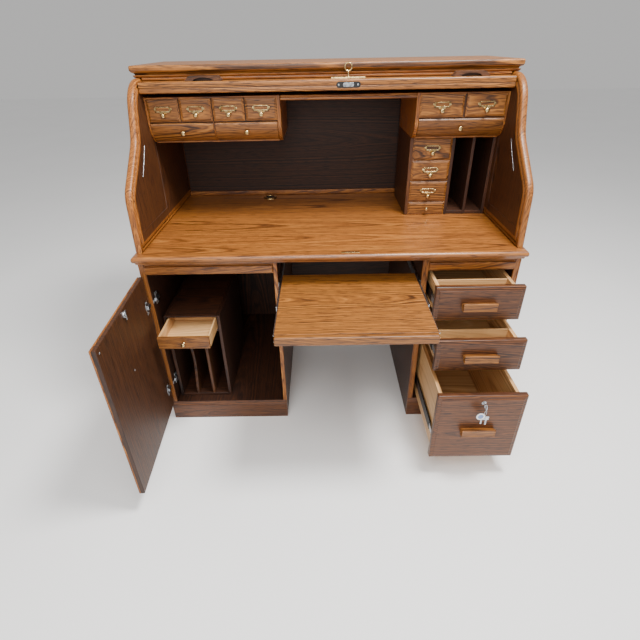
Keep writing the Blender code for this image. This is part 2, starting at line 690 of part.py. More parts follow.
def bar_poses():
    """The middle of the lift bar open and shut, and the pole that it turns about."""
    here = ((BAR_LOW[0] + BAR_HIGH[0]) / 2, (BAR_LOW[1] + BAR_HIGH[1]) / 2)
    half_tall = (BAR_HIGH[0] - BAR_LOW[0]) / 2
    half_thick = (BAR_HIGH[1] - BAR_LOW[1]) / 2
    start, heading, legs = track()
    # how far up the track the bar's middle stands when its lowest edge just clears the desktop
    low = DESKTOP_HEIGHT + 2 * BOARD_GAP + (half_thick + BAR_INSET) * math.cos(heading)
    middle = half_tall + (low - start[1]) / math.sin(heading)
    y, z, heading = along(start, heading, legs, middle)
    there = (y + BAR_INSET * math.sin(heading), z - BAR_INSET * math.cos(heading))
    pole = pole_between(here, there, math.radians(BAR_SHUT_TURN))
    return here, there, pole, middle + half_tall


def make_lift_bar():
    pole = bar_poses()[2]
    half = BAR_HALF_LENGTH
    bar = board("lift_bar", (-half, *BAR_LOW), (half, *BAR_HIGH), rounding=0.004, origin=(0.0, *pole))
    front, top = BAR_LOW[0], BAR_HIGH[1]
    hollow = LIFT_HOLLOW / 2
    for centre in LIFT_CENTRES:
        x_low, x_high = centre - LIFT_LENGTH / 2, centre + LIFT_LENGTH / 2
        join(bar, (x_low, front + LIFT_Y[0], top - 0.002), (x_high, front + LIFT_Y[1], top + LIFT_HEIGHT))
        cut(bar, (centre - hollow, front - CUT_PAST, top - 0.001),
            (centre + hollow, front + LIFT_HOLLOW_BACK, top + LIFT_HEIGHT - LIFT_CROWN))
    half = KEYHOLE / 2
    cut(bar, (BAR_KEY_X - half, BAR_KEY_Y - half, top - 0.016),
        (BAR_KEY_X + half, BAR_KEY_Y + half, top + CUT_PAST))


def key_outlines(bow, stem):
    """A flat key along its own y, 0 at the lock's face: the stem goes in and the ring stands out."""
    half = math.asin(KEY_STEM_WIDTH / 2 / bow)
    count = 16
    ring = []
    for i in range(count + 1):
        angle = -math.pi / 2 + half + (2 * math.pi - 2 * half) * i / count
        ring.append((bow * math.cos(angle), stem + bow + bow * math.sin(angle)))
    outer = ring + [(-KEY_STEM_WIDTH / 2, -KEY_REACH), (KEY_STEM_WIDTH / 2, -KEY_REACH)]
    inside = bow * BOW_HOLE_SHARE
    turns = [2 * math.pi * i / 12 for i in range(12)]
    return [outer, [(inside * math.cos(turn), stem + bow + inside * math.sin(turn)) for turn in turns]]


def make_keys():
    flat_outline("roll_top_key", key_outlines(0.0145, 0.020), KEY_THICKNESS, "brass", desk_frame,
                 (BAR_KEY_X, BAR_KEY_Y, BAR_HIGH[1]), (math.radians(90), 0.0, 0.0))
    front = RIGHT_DRAWERS[2][1]
    # the same key laid down: its own y points out of the drawer, its face to the side
    flat_outline("file_key", key_outlines(0.0110, 0.012), KEY_THICKNESS, "steel", desk_frame,
                 (FILE_KEY_X, front, FILE_KEY_Z), (math.radians(180), math.radians(90), 0.0))


def curtain_sections():
    """For each section of the curtain: its outline when shut, the pole of its turn, and the turn in radians.

    A section follows the S when the desk is shut. Open, its two ends lie on the stored line: back from the
    lift bar, and down the channel between the two backs.
    """
    start, heading, legs = track()
    shut_at = bar_poses()[3] + 0.0005
    stored = (BAR_HIGH[0] + 0.001, END_TOP - TRACK_OFFSET)
    sections = []
    for slats in SLATS_PER_SECTION:
        length = slats * SLAT_PITCH
        near = along(start, heading, legs, shut_at)
        far = along(start, heading, legs, shut_at + length)
        chord = math.dist(near[:2], far[:2])
        room = REAR_CHANNEL_Y - stored[0]
        if room >= chord:
            end = (stored[0] + chord, stored[1])
        else:
            end = (REAR_CHANNEL_Y, stored[1] - math.sqrt(chord * chord - room * room))
        shut_angle = math.atan2(far[1] - near[1], far[0] - near[0])
        open_angle = math.atan2(end[1] - stored[1], end[0] - stored[0])
        turn = shut_angle - open_angle
        here = ((stored[0] + end[0]) / 2, (stored[1] + end[1]) / 2)
        # a bent section is centred on the stored line by half of its bend
        bend = along(start, heading, legs, shut_at + length / 2)
        there = tuple((near[i] + far[i]) / 4 + bend[i] / 2 for i in (0, 1))
        sections.append((section_outline(shut_at, length), pole_between(here, there, turn), turn))
        shut_at += length
        stored = end
    return sections


def section_outline(first, length):
    """The strip of curtain between two distances along the track, outside edge first."""
    start, heading, legs = track()
    steps = 6
    half = CURTAIN_THICKNESS / 2
    outside, inside = [], []
    for i in range(steps + 1):
        distance = first + SECTION_TRIM + (length - 2 * SECTION_TRIM) * i / steps
        y, z, way = along(start, heading, legs, distance)
        outside.append((y - half * math.sin(way), z + half * math.cos(way)))
        inside.append((y + half * math.sin(way), z - half * math.cos(way)))
    return outside + inside[::-1]


def make_curtain():
    """Each section is drawn shut under an empty at its pole, and the empty is turned to the open place."""
    for i, (outline, pole, turn) in enumerate(curtain_sections()):
        name = "curtain_section_{}".format(i + 1)
        pivot = new_empty(name + "_pole", (0.0, *pole), desk_frame, (-turn, 0.0, 0.0))
        profile(name, outline, -BAR_HALF_LENGTH, BAR_HALF_LENGTH, pivot=pole, parent=pivot)


def depth_of_all():
    """The y of the open door's outer latch corner, the foremost point, so that the origin can be centred."""
    turn = math.radians(DOOR_OPEN_TURN)
    dx, dy = DOOR_LATCH_X - DOOR_PIVOT[0], PEDESTAL_FRONT - DOOR_PIVOT[1]
    return DOOR_PIVOT[1] - dx * math.sin(turn) + dy * math.cos(turn)


clear_scene()
parts = new_collection("roll_top_desk")
cutters = new_collection("cutters")
FINISHES = {
    "oak": (OAK, 0.35, 0.0),
    "dark_oak": (DARK_OAK, 0.40, 0.0),
    "birch": (BIRCH, 0.50, 0.0),
    "steel": (STEEL, 0.35, 1.0),
    "brass": (BRASS, 0.25, 1.0),
}
desk_frame = new_empty("desk_frame", (0.0, -(depth_of_all() + DESKTOP_DEPTH) / 2, 0.0))

make_desktop()
make_top_board()
make_ends()
make_backs()
left_inside = make_pedestal(-1, LEFT_KNEE_X, LEFT_INNER_THICKNESS)
right_inside = make_pedestal(1, RIGHT_KNEE_X, RIGHT_INNER_THICKNESS)
make_modesty_panel()
make_slide("left_slide", left_inside)
make_slide("right_slide", right_inside)
make_rails(right_inside)
make_left_gallery()
make_right_gallery()
make_stack()
make_case()
make_tray()
make_right_drawers()
make_door()
make_lift_bar()
make_keys()
make_curtain()
bpy.context.view_layer.update()
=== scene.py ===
import json
import math

import bpy
import numpy as np
from mathutils import Matrix, Vector
from mathutils.geometry import tessellate_polygon


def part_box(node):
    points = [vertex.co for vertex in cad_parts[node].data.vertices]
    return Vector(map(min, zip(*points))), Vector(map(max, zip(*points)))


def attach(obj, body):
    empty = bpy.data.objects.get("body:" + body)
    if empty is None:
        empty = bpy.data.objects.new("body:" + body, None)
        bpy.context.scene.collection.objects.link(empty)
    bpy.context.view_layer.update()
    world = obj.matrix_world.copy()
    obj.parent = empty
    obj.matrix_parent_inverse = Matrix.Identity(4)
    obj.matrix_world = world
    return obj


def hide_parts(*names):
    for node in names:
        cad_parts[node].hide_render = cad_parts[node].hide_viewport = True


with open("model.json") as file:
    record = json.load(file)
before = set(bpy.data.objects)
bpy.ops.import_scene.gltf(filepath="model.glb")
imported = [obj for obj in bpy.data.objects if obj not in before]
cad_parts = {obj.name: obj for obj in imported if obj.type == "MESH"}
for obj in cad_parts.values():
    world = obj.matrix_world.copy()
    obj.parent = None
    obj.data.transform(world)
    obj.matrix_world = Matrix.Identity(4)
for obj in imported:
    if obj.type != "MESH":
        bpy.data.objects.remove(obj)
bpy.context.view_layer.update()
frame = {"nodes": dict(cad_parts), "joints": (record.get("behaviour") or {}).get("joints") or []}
joints = {joint["name"]: joint for joint in frame["joints"]}
deskLow, deskHigh = (np.array(corner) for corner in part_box("desktop"))
deskFront = deskLow[1]  # the desktop's front edge, from which depths are counted
random = np.random.default_rng(7)
print("frame loaded:", len(frame["nodes"]), "nodes")


cameraSet = {
    "place": (-0.0278, deskFront - 1.3869, 1.3739), "pitch": 57.905, "roll": -1.072, "yaw": 0.345,
    "lens": 24.91}


def addCamera():
    data = bpy.data.cameras.new("camera")
    data.lens = cameraSet["lens"]
    data.sensor_width = 36.0
    data.clip_start = 0.05
    camera = bpy.data.objects.new("camera", data)
    bpy.context.scene.collection.objects.link(camera)
    yaw = Matrix.Rotation(math.radians(cameraSet["yaw"]), 4, "Z")
    pitch = Matrix.Rotation(math.radians(cameraSet["pitch"]), 4, "X")
    roll = Matrix.Rotation(math.radians(cameraSet["roll"]), 4, "Z")
    camera.matrix_world = Matrix.Translation(cameraSet["place"]) @ yaw @ pitch @ roll
    bpy.context.scene.camera = camera


lightSet = {
    "ceiling": {"place": (0.85, -0.55, 3.1), "aim": (0.0, 0.05, 0.7), "size": 0.8, "power": 120},
    "front": {"place": (-0.3, -3.2, 2.0), "aim": (0.0, 0.0, 0.5), "size": 1.4, "power": 34},
    "floor": {"place": (0.0, -2.4, 3.6), "aim": (0.0, -1.6, 0.0), "size": 3.0, "power": 115},
}


def addLights():
    for name, spec in lightSet.items():
        data = bpy.data.lights.new(name, "AREA")
        data.shape = "DISK"
        data.size = spec["size"]
        data.energy = spec["power"]
        data.color = (1.0, 0.985, 0.96)
        lamp = bpy.data.objects.new(name, data)
        bpy.context.scene.collection.objects.link(lamp)
        lamp.location = spec["place"]
        lamp.rotation_euler = (
            Vector(spec["aim"]) - Vector(spec["place"])).to_track_quat("-Z", "Y").to_euler()
    world = bpy.data.worlds.new("studio")
    bpy.context.scene.world = world
    world.use_nodes = True
    world.node_tree.nodes["Background"].inputs["Color"].default_value = (1.0, 0.99, 0.98, 1.0)
    world.node_tree.nodes["Background"].inputs["Strength"].default_value = 0.55


def linear(hexColour):
    # sRGB hex to linear: the dark end is divided by 12.92, the rest follows the 2.4 power curve
    parts = np.array([int(hexColour[i:i + 2], 16) for i in (1, 3, 5)]) / 255
    parts = np.where(parts <= 0.04045, parts / 12.92, ((parts + 0.055) / 1.055) ** 2.4)
    return (*parts.tolist(), 1.0)


def addNode(tree, kind, settings=None, links=None):
    # one shader node: settings go to its properties or inputs, links join outputs to its inputs
    node = tree.nodes.new("ShaderNode" + kind)
    for key, value in (settings or {}).items():
        if isinstance(key, str) and hasattr(node, key):
            setattr(node, key, value)
        else:
            node.inputs[key].default_value = value
    for key, output in (links or {}).items():
        tree.links.new(output, node.inputs[key])
    return node


def newMaterial(name):
    material = bpy.data.materials.new(name)
    material.use_nodes = True
    return material, material.node_tree, material.node_tree.nodes["Principled BSDF"]


bandStops = (0.26, 0.42, 0.55, 0.74)  # where along the band noise each of a wood's four tones sits


def sawnWood(
        name, tones, ring=0.0034, plank=0.0, pores=0.85, coat=0.12, rough=0.42, spread=0.42, wander=1.0):
    # open-grained timber, planed, stained and lacquered. The grain attribute runs along, across and through
    # the board in metres. Rings: the distance from a pith line that rises slowly along the board, with slow
    # noise added, so that flat sawn faces get cathedrals; noise along that distance makes the light and
    # dark bands. Pores: noise stretched along the grain, drawn 1 to 2 mm wide so that they show. The eye
    # gets fine brown bands with dark dashes. Planks: one width side by side, each from its own place.
    material, tree, shader = newMaterial(name)
    place = addNode(tree, "Attribute", {"attribute_name": "grain"}).outputs["Vector"]
    tone = addNode(tree, "Attribute", {"attribute_name": "tone"}).outputs["Fac"]
    if plank:
        plankStart = addNode(tree, "VectorMath", {"operation": "SNAP", 1: (0.0, plank, 0.0)}, {0: place})
        chance = addNode(tree, "TexWhiteNoise", {}, {"Vector": plankStart.outputs[0]}).outputs
        inside = addNode(
            tree, "VectorMath", {"operation": "SUBTRACT"}, {0: place, 1: plankStart.outputs[0]})
        place = addNode(
            tree, "VectorMath", {"operation": "MULTIPLY_ADD", 1: (4.0, -plank, 0.03)},
            {0: chance["Color"], 2: inside.outputs[0]}).outputs[0]
        tone = addNode(tree, "Math", {"operation": "MULTIPLY_ADD", 1: 1.4}, {0: chance["Value"], 2: tone})
        tone = addNode(tree, "Math", {"operation": "SUBTRACT", 1: 0.7}, {0: tone.outputs[0]}).outputs[0]
    tilted = addNode(
        tree, "Mapping", {"Rotation": (0.0, -0.055 * wander, 0.0)}, {"Vector": place}).outputs[0]
    slow = addNode(tree, "Mapping", {"Scale": (1.6, 9.0, 9.0)}, {"Vector": place}).outputs[0]
    warp = addNode(tree, "TexNoise", {"Scale": 1.0, "Detail": 3.0}, {"Vector": slow}).outputs["Color"]
    bent = addNode(
        tree, "VectorMath", {"operation": "MULTIPLY_ADD", 1: (0.0, 0.020 * wander, 0.055 * wander)},
        {0: warp, 2: tilted}).outputs[0]
    sliced = addNode(
        tree, "VectorMath", {"operation": "MULTIPLY", 1: (0.0, 1 / ring, 1 / ring)}, {0: bent}).outputs[0]
    radius = addNode(tree, "VectorMath", {"operation": "LENGTH"}, {0: sliced}).outputs["Value"]
    bands = addNode(
        tree, "TexNoise", {"noise_dimensions": "1D", "Scale": 1.0, "Detail": 2.5, "Roughness": 0.62},
        {"W": radius}).outputs["Fac"]
    fine = addNode(tree, "Mapping", {"Scale": (14.0, 420.0, 420.0)}, {"Vector": place}).outputs[0]
    fibre = addNode(tree, "TexNoise", {"Scale": 1.0, "Detail": 2.0}, {"Vector": fine}).outputs["Fac"]
    shade = addNode(tree, "Math", {"operation": "MULTIPLY_ADD", 1: spread}, {0: fibre, 2: bands})
    stain = addNode(tree, "ValToRGB", {}, {"Fac": shade.outputs[0]})
    stops = stain.color_ramp.elements
    for _ in (1, 2):
        stops.new(0.5)
    for i, (stop, tint) in enumerate(zip(bandStops, tones)):
        stops[i].position = min(1.0, stop + spread / 2)
        stops[i].color = linear(tint)
    dash = addNode(tree, "Mapping", {"Scale": (24.0, 430.0, 430.0)}, {"Vector": place}).outputs[0]
    pore = addNode(tree, "TexNoise", {"Scale": 1.0, "Detail": 1.0}, {"Vector": dash}).outputs["Fac"]
    pit = addNode(
        tree, "MapRange", {"From Min": 0.56, "From Max": 0.66, "To Max": pores}, {"Value": pore}).outputs[0]
    dark = addNode(
        tree, "Mix", {"data_type": "RGBA", 7: linear(tones[0])},
        {0: pit, 6: stain.outputs["Color"]}).outputs[2]
    value = addNode(tree, "Math", {"operation": "MULTIPLY_ADD", 1: 0.16, 2: 1.0}, {0: tone}).outputs[0]
    toned = addNode(tree, "HueSaturation", {}, {"Value": value, "Color": dark}).outputs[0]
    tree.links.new(toned, shader.inputs["Base Color"])
    shine = addNode(tree, "MapRange", {"To Min": rough - 0.07, "To Max": rough + 0.10}, {"Value": fibre})
    tree.links.new(shine.outputs[0], shader.inputs["Roughness"])
    relief = addNode(tree, "Math", {"operation": "MULTIPLY_ADD", 1: -1.0}, {0: pit, 2: bands}).outputs[0]
    bump = addNode(tree, "Bump", {"Strength": 0.30, "Distance": 0.0003}, {"Height": relief})
    tree.links.new(bump.outputs[0], shader.inputs["Normal"])
    shader.inputs["IOR"].default_value = 1.45
    shader.inputs["Coat Weight"].default_value = coat
    shader.inputs["Coat Roughness"].default_value = 0.22
    return material


def workedMetal(name, colour, dark, rough, scale, scratch=0.25, metallic=1.0):
    # metal with a worked surface: noise at the grit's size moves the colour and the roughness a little, so
    # highlights break up as they do on handled hardware
    material, tree, shader = newMaterial(name)
    place = addNode(tree, "TexCoord").outputs["Object"]
    grit = addNode(tree, "TexNoise", {"Scale": scale, "Detail": 3.0}, {"Vector": place}).outputs["Fac"]
    worn = addNode(tree, "TexNoise", {"Scale": scale / 9, "Detail": 2.0}, {"Vector": place}).outputs["Fac"]
    share = addNode(tree, "MapRange", {"From Min": 0.30, "From Max": 0.62}, {"Value": worn}).outputs[0]
    tint = addNode(tree, "Mix", {"data_type": "RGBA", 6: linear(dark), 7: linear(colour)}, {0: share})
    tree.links.new(tint.outputs[2], shader.inputs["Base Color"])
    shine = addNode(tree, "MapRange", {"To Min": rough * 0.7, "To Max": rough * 1.5}, {"Value": grit})
    tree.links.new(shine.outputs[0], shader.inputs["Roughness"])
    bump = addNode(tree, "Bump", {"Strength": scratch, "Distance": 0.0001}, {"Height": grit})
    tree.links.new(bump.outputs[0], shader.inputs["Normal"])
    shader.inputs["Metallic"].default_value = metallic
    return material


def coatedPlain(name, colour, dark, rough, scale):
    # moulded plastic, card or paint: a fine orange peel of noise in colour, roughness and bump
    return workedMetal(name, colour, dark, rough, scale, 0.15, 0.0)


# tones run from the dark late wood and pores to the lightest early wood
oakTones = ("#41200b", "#7c4719", "#955921", "#ab6f30")
finishes = {
    "oak": sawnWood("oakLacquered", oakTones),
    "oakPlanks": sawnWood(
        "oakGluedPlanks", ("#4b270c", "#875020", "#975b25", "#a86c30"), plank=0.115, coat=0.45, wander=0.3),
    "oakFront": sawnWood("oakFlatSawnFronts", ("#331a08", "#6d4119", "#8a5521", "#a46b2f"), ring=0.0044),
    "oakDrawer": sawnWood("oakDrawerFronts", ("#210d04", "#4a260d", "#603616", "#764720"), ring=0.0040),
    # the dark veneer finish: partly the wood's own dark stain, partly painted shade where it darkens the
    # slots, the knee hole and the back of the hutch
    "oakVeneer": sawnWood(
        "oakDarkVeneerWithPaintedShade", ("#150905", "#2e170b", "#3b1f0f", "#4a2914"), ring=0.0060, coat=0.0,
        rough=0.55),
    # the dark mid finish: partly a darker stain, partly painted shade on faces turned from the light and in
    # hollows: the ends' inner faces, the knee hole's sides, the shelves and dividers under the galleries,
    # the finger lifts' scoops
    "oakShade": sawnWood(
        "oakPanelMidStainWithPaintedShade", ("#1e0e06", "#3d210e", "#4e2b12", "#613a19"), ring=0.0050, coat=0.0,
        rough=0.50),
    "birch": sawnWood(
        "birchDrawerSides", ("#a67a4a", "#c29562", "#cfa26c", "#dab27e"), ring=0.008, pores=0.10, coat=0.15,
        rough=0.45, spread=0.18),
    "brass": workedMetal("brassPolishedLacquered", "#dcc08a", "#8f7240", 0.24, 900.0),
    "steel": workedMetal("steelZincPlated", "#c4c7cb", "#8f9398", 0.28, 1200.0),
    "blackSteel": workedMetal("steelBlackOxide", "#2b2b2d", "#151516", 0.38, 1200.0),
    "card": coatedPlain("cardPressedWhite", "#f1f0ec", "#e2e0da", 0.70, 700.0),
    "cardBlue": coatedPlain("cardTintedBlue", "#7f93bd", "#6d82ad", 0.70, 700.0),
    "blackPaint": coatedPlain("enamelBlackSprayed", "#1b1a1a", "#0e0d0d", 0.30, 900.0),
    "dark": coatedPlain("darkCanvasAndPaintedShade", "#1a120d", "#100a07", 0.85, 800.0),
}
print("materials ready:", len(finishes))


def skin(rings, capped=True, looped=False):
    # neighbouring rings are joined by quads; the first and last are closed by flat caps unless they join up
    rings = np.asarray(rings, float)
    count, size = rings.shape[:2]
    base = np.arange(count * size).reshape(count, size)
    after = np.roll(base, -1, axis=1)
    lower, upper = (base, np.roll(base, -1, axis=0)) if looped else (base[:-1], base[1:])
    lowerNext, upperNext = (after, np.roll(after, -1, axis=0)) if looped else (after[:-1], after[1:])
    quads = np.stack([lower, lowerNext, upperNext, upper], axis=-1).reshape(-1, 4).tolist()
    if capped and not looped:
        quads += [base[0][::-1].tolist(), base[-1].tolist()]
    return rings.reshape(-1, 3), quads


def inPlane(flat, height, axis):
    # two coordinates across an axis and one along it, put in x, y, z order; the order keeps faces outwards
    out = np.empty(flat.shape[:-1] + (3,))
    out[..., (axis + 1) % 3] = flat[..., 0]
    out[..., (axis + 2) % 3] = flat[..., 1]
    out[..., axis] = height
    return out


def rectangleRings(low, high, axis, rows, corner=0.0015, steps=2):
    # rounded rectangles stacked along an axis; each row is how far one is drawn in and how far up it stands.
    # A corner is a quarter circle whose radius shrinks by the inset.
    low, high = np.array(low, float), np.array(high, float)
    first, second = (axis + 1) % 3, (axis + 2) % 3
    rows = np.array(rows, float)
    inset, height = rows[:, 0], rows[:, 1]
    turn = np.concatenate([np.linspace(0, 90, steps + 1) + 90 * quarter for quarter in range(4)])
    turn = np.radians(turn)
    sideA = np.repeat([1, -1, -1, 1], steps + 1)
    sideB = np.repeat([1, 1, -1, -1], steps + 1)
    radius = np.maximum(corner - inset, 0.0002)[:, None]
    halfA = (high[first] - low[first]) / 2 - inset[:, None] - radius
    halfB = (high[second] - low[second]) / 2 - inset[:, None] - radius
    flat = np.stack(
        [
            (high[first] + low[first]) / 2 + sideA * halfA + radius * np.cos(turn),
            (high[second] + low[second]) / 2 + sideB * halfB + radius * np.sin(turn)],
        axis=-1)
    return inPlane(flat, (low[axis] + height)[:, None], axis)


def easeRows(length, ease, steps=2):
    # a quarter circle in at one end and out at the other
    angle = np.linspace(0, math.pi / 2, steps + 1)
    start = np.stack([ease * (1 - np.sin(angle)), ease * (1 - np.cos(angle))], axis=-1)
    end = np.stack([start[::-1, 0], length - start[::-1, 1]], axis=-1)
    return np.concatenate([start, end])


def easedBoard(low, high, ease=0.0015, axis=None):
    size = np.array(high, float) - np.array(low, float)
    axis = int(np.argmin(size)) if axis is None else axis
    ease = min(ease, size.min() * 0.45)
    return skin(rectangleRings(low, high, axis, easeRows(size[axis], ease), corner=ease))


def offsetOutline(outline, inset):
    # a closed outline drawn in by an inset: each point moves along the mitre of its edges' inward normals
    edges = np.roll(outline, -1, axis=0) - outline
    edges /= np.linalg.norm(edges, axis=1)[:, None]
    normal = np.stack([-edges[:, 1], edges[:, 0]], axis=-1)
    before = np.roll(normal, 1, axis=0)
    mitre = (normal + before) / (1 + (normal * before).sum(1))[:, None]
    return outline + mitre * inset


def outlineRings(outline, axis, rows):
    return np.stack([inPlane(offsetOutline(outline, inset), height, axis) for inset, height in rows])


def easedOutline(outline, axis, low, high, ease=0.0012):
    rows = easeRows(high - low, ease) + (0.0, low)
    return skin(outlineRings(np.array(outline, float), axis, rows))


def turned(profile, centre, axis, steps=24):
    # a profile of radius and height, turned about an axis through the centre
    profile = np.array(profile, float)
    angle = np.linspace(0, 2 * math.pi, steps, endpoint=False)
    flat = profile[:, :1, None] * np.stack([np.cos(angle), np.sin(angle)], axis=-1)[None]
    rings = inPlane(flat, profile[:, 1:2], axis)
    return skin(rings + np.array(centre, float))


def tube(path, radius, steps=10, looped=False, up=(1.0, 0.0, 0.0)):
    # a circle carried along a path; its plane is square to the path's direction at each point
    path = np.array(path, float)
    if looped:
        ahead = np.roll(path, -1, axis=0) - np.roll(path, 1, axis=0)
    else:
        ahead = np.gradient(path, axis=0)
    ahead /= np.linalg.norm(ahead, axis=1)[:, None]
    side = np.cross(ahead, np.array(up, float))
    side /= np.linalg.norm(side, axis=1)[:, None]
    over = np.cross(ahead, side)
    angle = np.linspace(0, 2 * math.pi, steps, endpoint=False)
    radius = np.broadcast_to(radius, len(path))[:, None, None]
    ring = side[:, None] * np.cos(angle)[None, :, None] + over[:, None] * np.sin(angle)[None, :, None]
    return skin(path[:, None] + radius * ring, looped=looped)


def part(shape, finish="oak", along=0, shift=True):
    # one solid of a piece: its mesh, its finish, and its wood's direction with a place of its own in the log
    points, faces = shape
    size = np.ptp(points, axis=0)
    others = sorted((a for a in range(3) if a != along), key=lambda a: -size[a])
    middle = (points.max(0) + points.min(0)) / 2
    grain = (points - middle)[:, [along, *others]]
    if shift:
        grain = grain + random.uniform((-1.2, -0.06, -0.01), (1.2, 0.06, 0.05))
    tone = random.uniform(-1, 1) if shift else 0.0
    return {"points": points, "faces": faces, "finish": finish, "grain": grain, "tone": tone}


def eased(low, high, ease=0.0015, finish="oak", along=0, axis=None):
    # a board with eased edges, its finish and the axis its grain follows
    shape = easedBoard(low, high, ease, axis)
    return part(shape, finish, along)


def weighFaces(mesh, limit=62.0):
    # each corner takes the mean of its point's face normals, weighted by area, so that broad faces stay flat
    # and only the eased edges turn; a face that turns further than the limit from that mean keeps its own
    count = len(mesh.polygons)
    normals, areas, sizes = np.empty(count * 3), np.empty(count), np.empty(count, np.int32)
    mesh.polygons.foreach_get("normal", normals)
    mesh.polygons.foreach_get("area", areas)
    mesh.polygons.foreach_get("loop_total", sizes)
    points = np.empty(len(mesh.loops), np.int32)
    mesh.loops.foreach_get("vertex_index", points)
    own = np.repeat(normals.reshape(-1, 3), sizes, axis=0)
    mean = np.zeros((len(mesh.vertices), 3))
    np.add.at(mean, points, own * np.repeat(areas, sizes)[:, None])
    mean /= np.maximum(np.linalg.norm(mean, axis=1), 1e-20)[:, None]
    corner = mean[points]
    sharp = (corner * own).sum(1) < math.cos(math.radians(limit))
    corner[sharp] = own[sharp]
    mesh.normals_split_custom_set(corner.tolist())


def makePiece(name, body, parts, replaces=()):
    # the parts become one mesh at the origin, with the wood's grain and tone as attributes
    points = np.concatenate([p["points"] for p in parts])
    starts = np.cumsum([0] + [len(p["points"]) for p in parts])
    faces = [[i + start for i in face] for p, start in zip(parts, starts) for face in p["faces"]]
    mesh = bpy.data.meshes.new(name)
    mesh.from_pydata(points.tolist(), [], faces)
    used = list(dict.fromkeys(p["finish"] for p in parts))
    for finish in used:
        mesh.materials.append(finishes[finish])
    index = np.concatenate([np.full(len(p["faces"]), used.index(p["finish"])) for p in parts])
    mesh.polygons.foreach_set("material_index", index.astype(np.int32))
    grain = mesh.attributes.new("grain", "FLOAT_VECTOR", "POINT")
    grain.data.foreach_set("vector", np.concatenate([p["grain"] for p in parts]).astype(np.float32).ravel())
    tone = mesh.attributes.new("tone", "FLOAT", "POINT")
    tone.data.foreach_set(
        "value", np.repeat([p["tone"] for p in parts], np.diff(starts)).astype(np.float32))
    mesh.shade_smooth()
    mesh.validate()
    weighFaces(mesh)
    piece = bpy.data.objects.new(name, mesh)
    bpy.context.scene.collection.objects.link(piece)
    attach(piece, body)
    for node in ([replaces] if isinstance(replaces, str) else replaces):
        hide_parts(node)
    return piece


def cad(node):
    low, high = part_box(node)
    return np.array(low), np.array(high)


def fromShut(shapes, jointName):
    # shapes drawn with the desk shut, turned back to the open place about their joint
    joint = joints[jointName]
    pole = Vector(joint["pos_m"])
    back = Matrix.Rotation(-math.radians(joint["range_deg"][1]), 4, Vector(joint["axis"]))
    move = Matrix.Translation(pole) @ back @ Matrix.Translation(-pole)
    turn = np.array(move)
    for shape in shapes:
        shape["points"] = shape["points"] @ turn[:3, :3].T + turn[:3, 3]
    return shapes


sLine = {
    "startY": deskFront + 0.036, "heading": 85.0,
    "legs": (
        ("line", 0.165), ("arc", 0.085, -43.0), ("line", 0.150), ("arc", 0.110, 27.0), ("line", 0.085),
        ("arc", 0.115, -69.0)),
    "trackInset": 0.022}
surface = deskHigh[2]


def alongPath(distance, inset=0.0):
    # place and heading after a distance along lines and arcs; an inset makes bends to the inside tighter
    heading = math.radians(sLine["heading"])
    y = sLine["startY"] + inset * math.sin(heading)
    z = surface - inset * math.cos(heading)
    for leg in sLine["legs"]:
        if leg[0] == "line":
            step = min(distance, leg[1])
            y, z = y + step * math.cos(heading), z + step * math.sin(heading)
            length = leg[1]
        else:
            side = math.copysign(1.0, leg[2])
            radius = leg[1] + side * inset
            length = radius * math.radians(abs(leg[2]))
            swept = side * min(distance, length) / radius
            y += side * radius * (math.sin(heading + swept) - math.sin(heading))
            z -= side * radius * (math.cos(heading + swept) - math.cos(heading))
            heading += swept
        distance -= length
        if distance <= 0:
            return y, z, heading
    return y + distance * math.cos(heading), z + distance * math.sin(heading), heading


def pathLength(inset=0.0):
    total = 0.0
    for leg in sLine["legs"]:
        bend = leg[0] == "arc"
        total += (leg[1] + math.copysign(inset, leg[2])) * math.radians(abs(leg[2])) if bend else leg[1]
    return total


def makeTops():
    # the desktop: planks with a round nose over a small cove; the top board: an ogee over a bed mould
    low, high = cad("desktop")
    nose = (
        (0.0125, 0.0), (0.0110, 0.0015), (0.0105, 0.005), (0.0085, 0.0085), (0.004, 0.0105),
        (0.0012, 0.0130), (0.0, 0.0175), (0.0008, 0.0225), (0.0035, 0.0268), (0.0075, 0.0292),
        (0.0125, 0.0300))
    top = part(skin(rectangleRings(low, high, 2, nose, corner=0.006, steps=3)), "oakPlanks", 0)
    makePiece("desktop_board", "desk", [top], "desktop")
    low, high = cad("top_board")
    step = 0.0077  # the bed mould's height under the board
    low[2] = cad("end_panel_left")[1][2] + 0.0003  # the rail between the ends hangs lower
    ogee = (
        (0.0150, step), (0.0145, 0.0105), (0.0125, 0.0135), (0.0090, 0.0155), (0.0055, 0.0170),
        (0.0030, 0.0190), (0.0018, 0.0215), (0.0004, 0.0222), (0.0, 0.0300), (0.0010, 0.0345),
        (0.0035, 0.0372), (0.0065, 0.0377))
    board = part(skin(rectangleRings(low, high, 2, ogee, corner=0.006, steps=3)), "oakFront", 0)
    inset = high[0] - cad("end_panel_right")[1][0]
    mould = ((0.006, 0.0), (0.004, 0.0012), (0.0015, 0.004), (0.0, 0.0052), (0.0, step + 0.0005))
    bedLow, bedHigh = low + (inset, 0.006, 0), high - (inset, 0.004, 0)
    bed = part(skin(rectangleRings(bedLow, bedHigh, 2, mould, corner=0.004)), "oak", 0)
    inside = cad("end_panel_right")[0][0] - 0.0003
    rail = eased(
        (-inside, deskFront + 0.365, low[2] - 0.0095), (inside, deskFront + 0.385, low[2] + 0.002), 0.004,
        "oak", 0, axis=0)
    makePiece("top_board_moulded", "desk", [board, bed, rail], "top_board")


def endOutline():
    # up the S, back along the top, down the back: counter-clockwise when y is to the left of z
    distances = np.concatenate([np.linspace(0.0, 0.165, 4), np.linspace(0.165, pathLength(), 46)[1:]])
    line = np.array([alongPath(d)[:2] for d in distances])
    low, high = cad("end_panel_left")
    line[:, 1] = low[2] + (line[:, 1] - line[0, 1]) * (high[2] - low[2]) / (line[-1, 1] - line[0, 1])
    back = np.array([[high[1], high[2]], [high[1], low[2]]])
    return np.concatenate([line, back])[::-1]


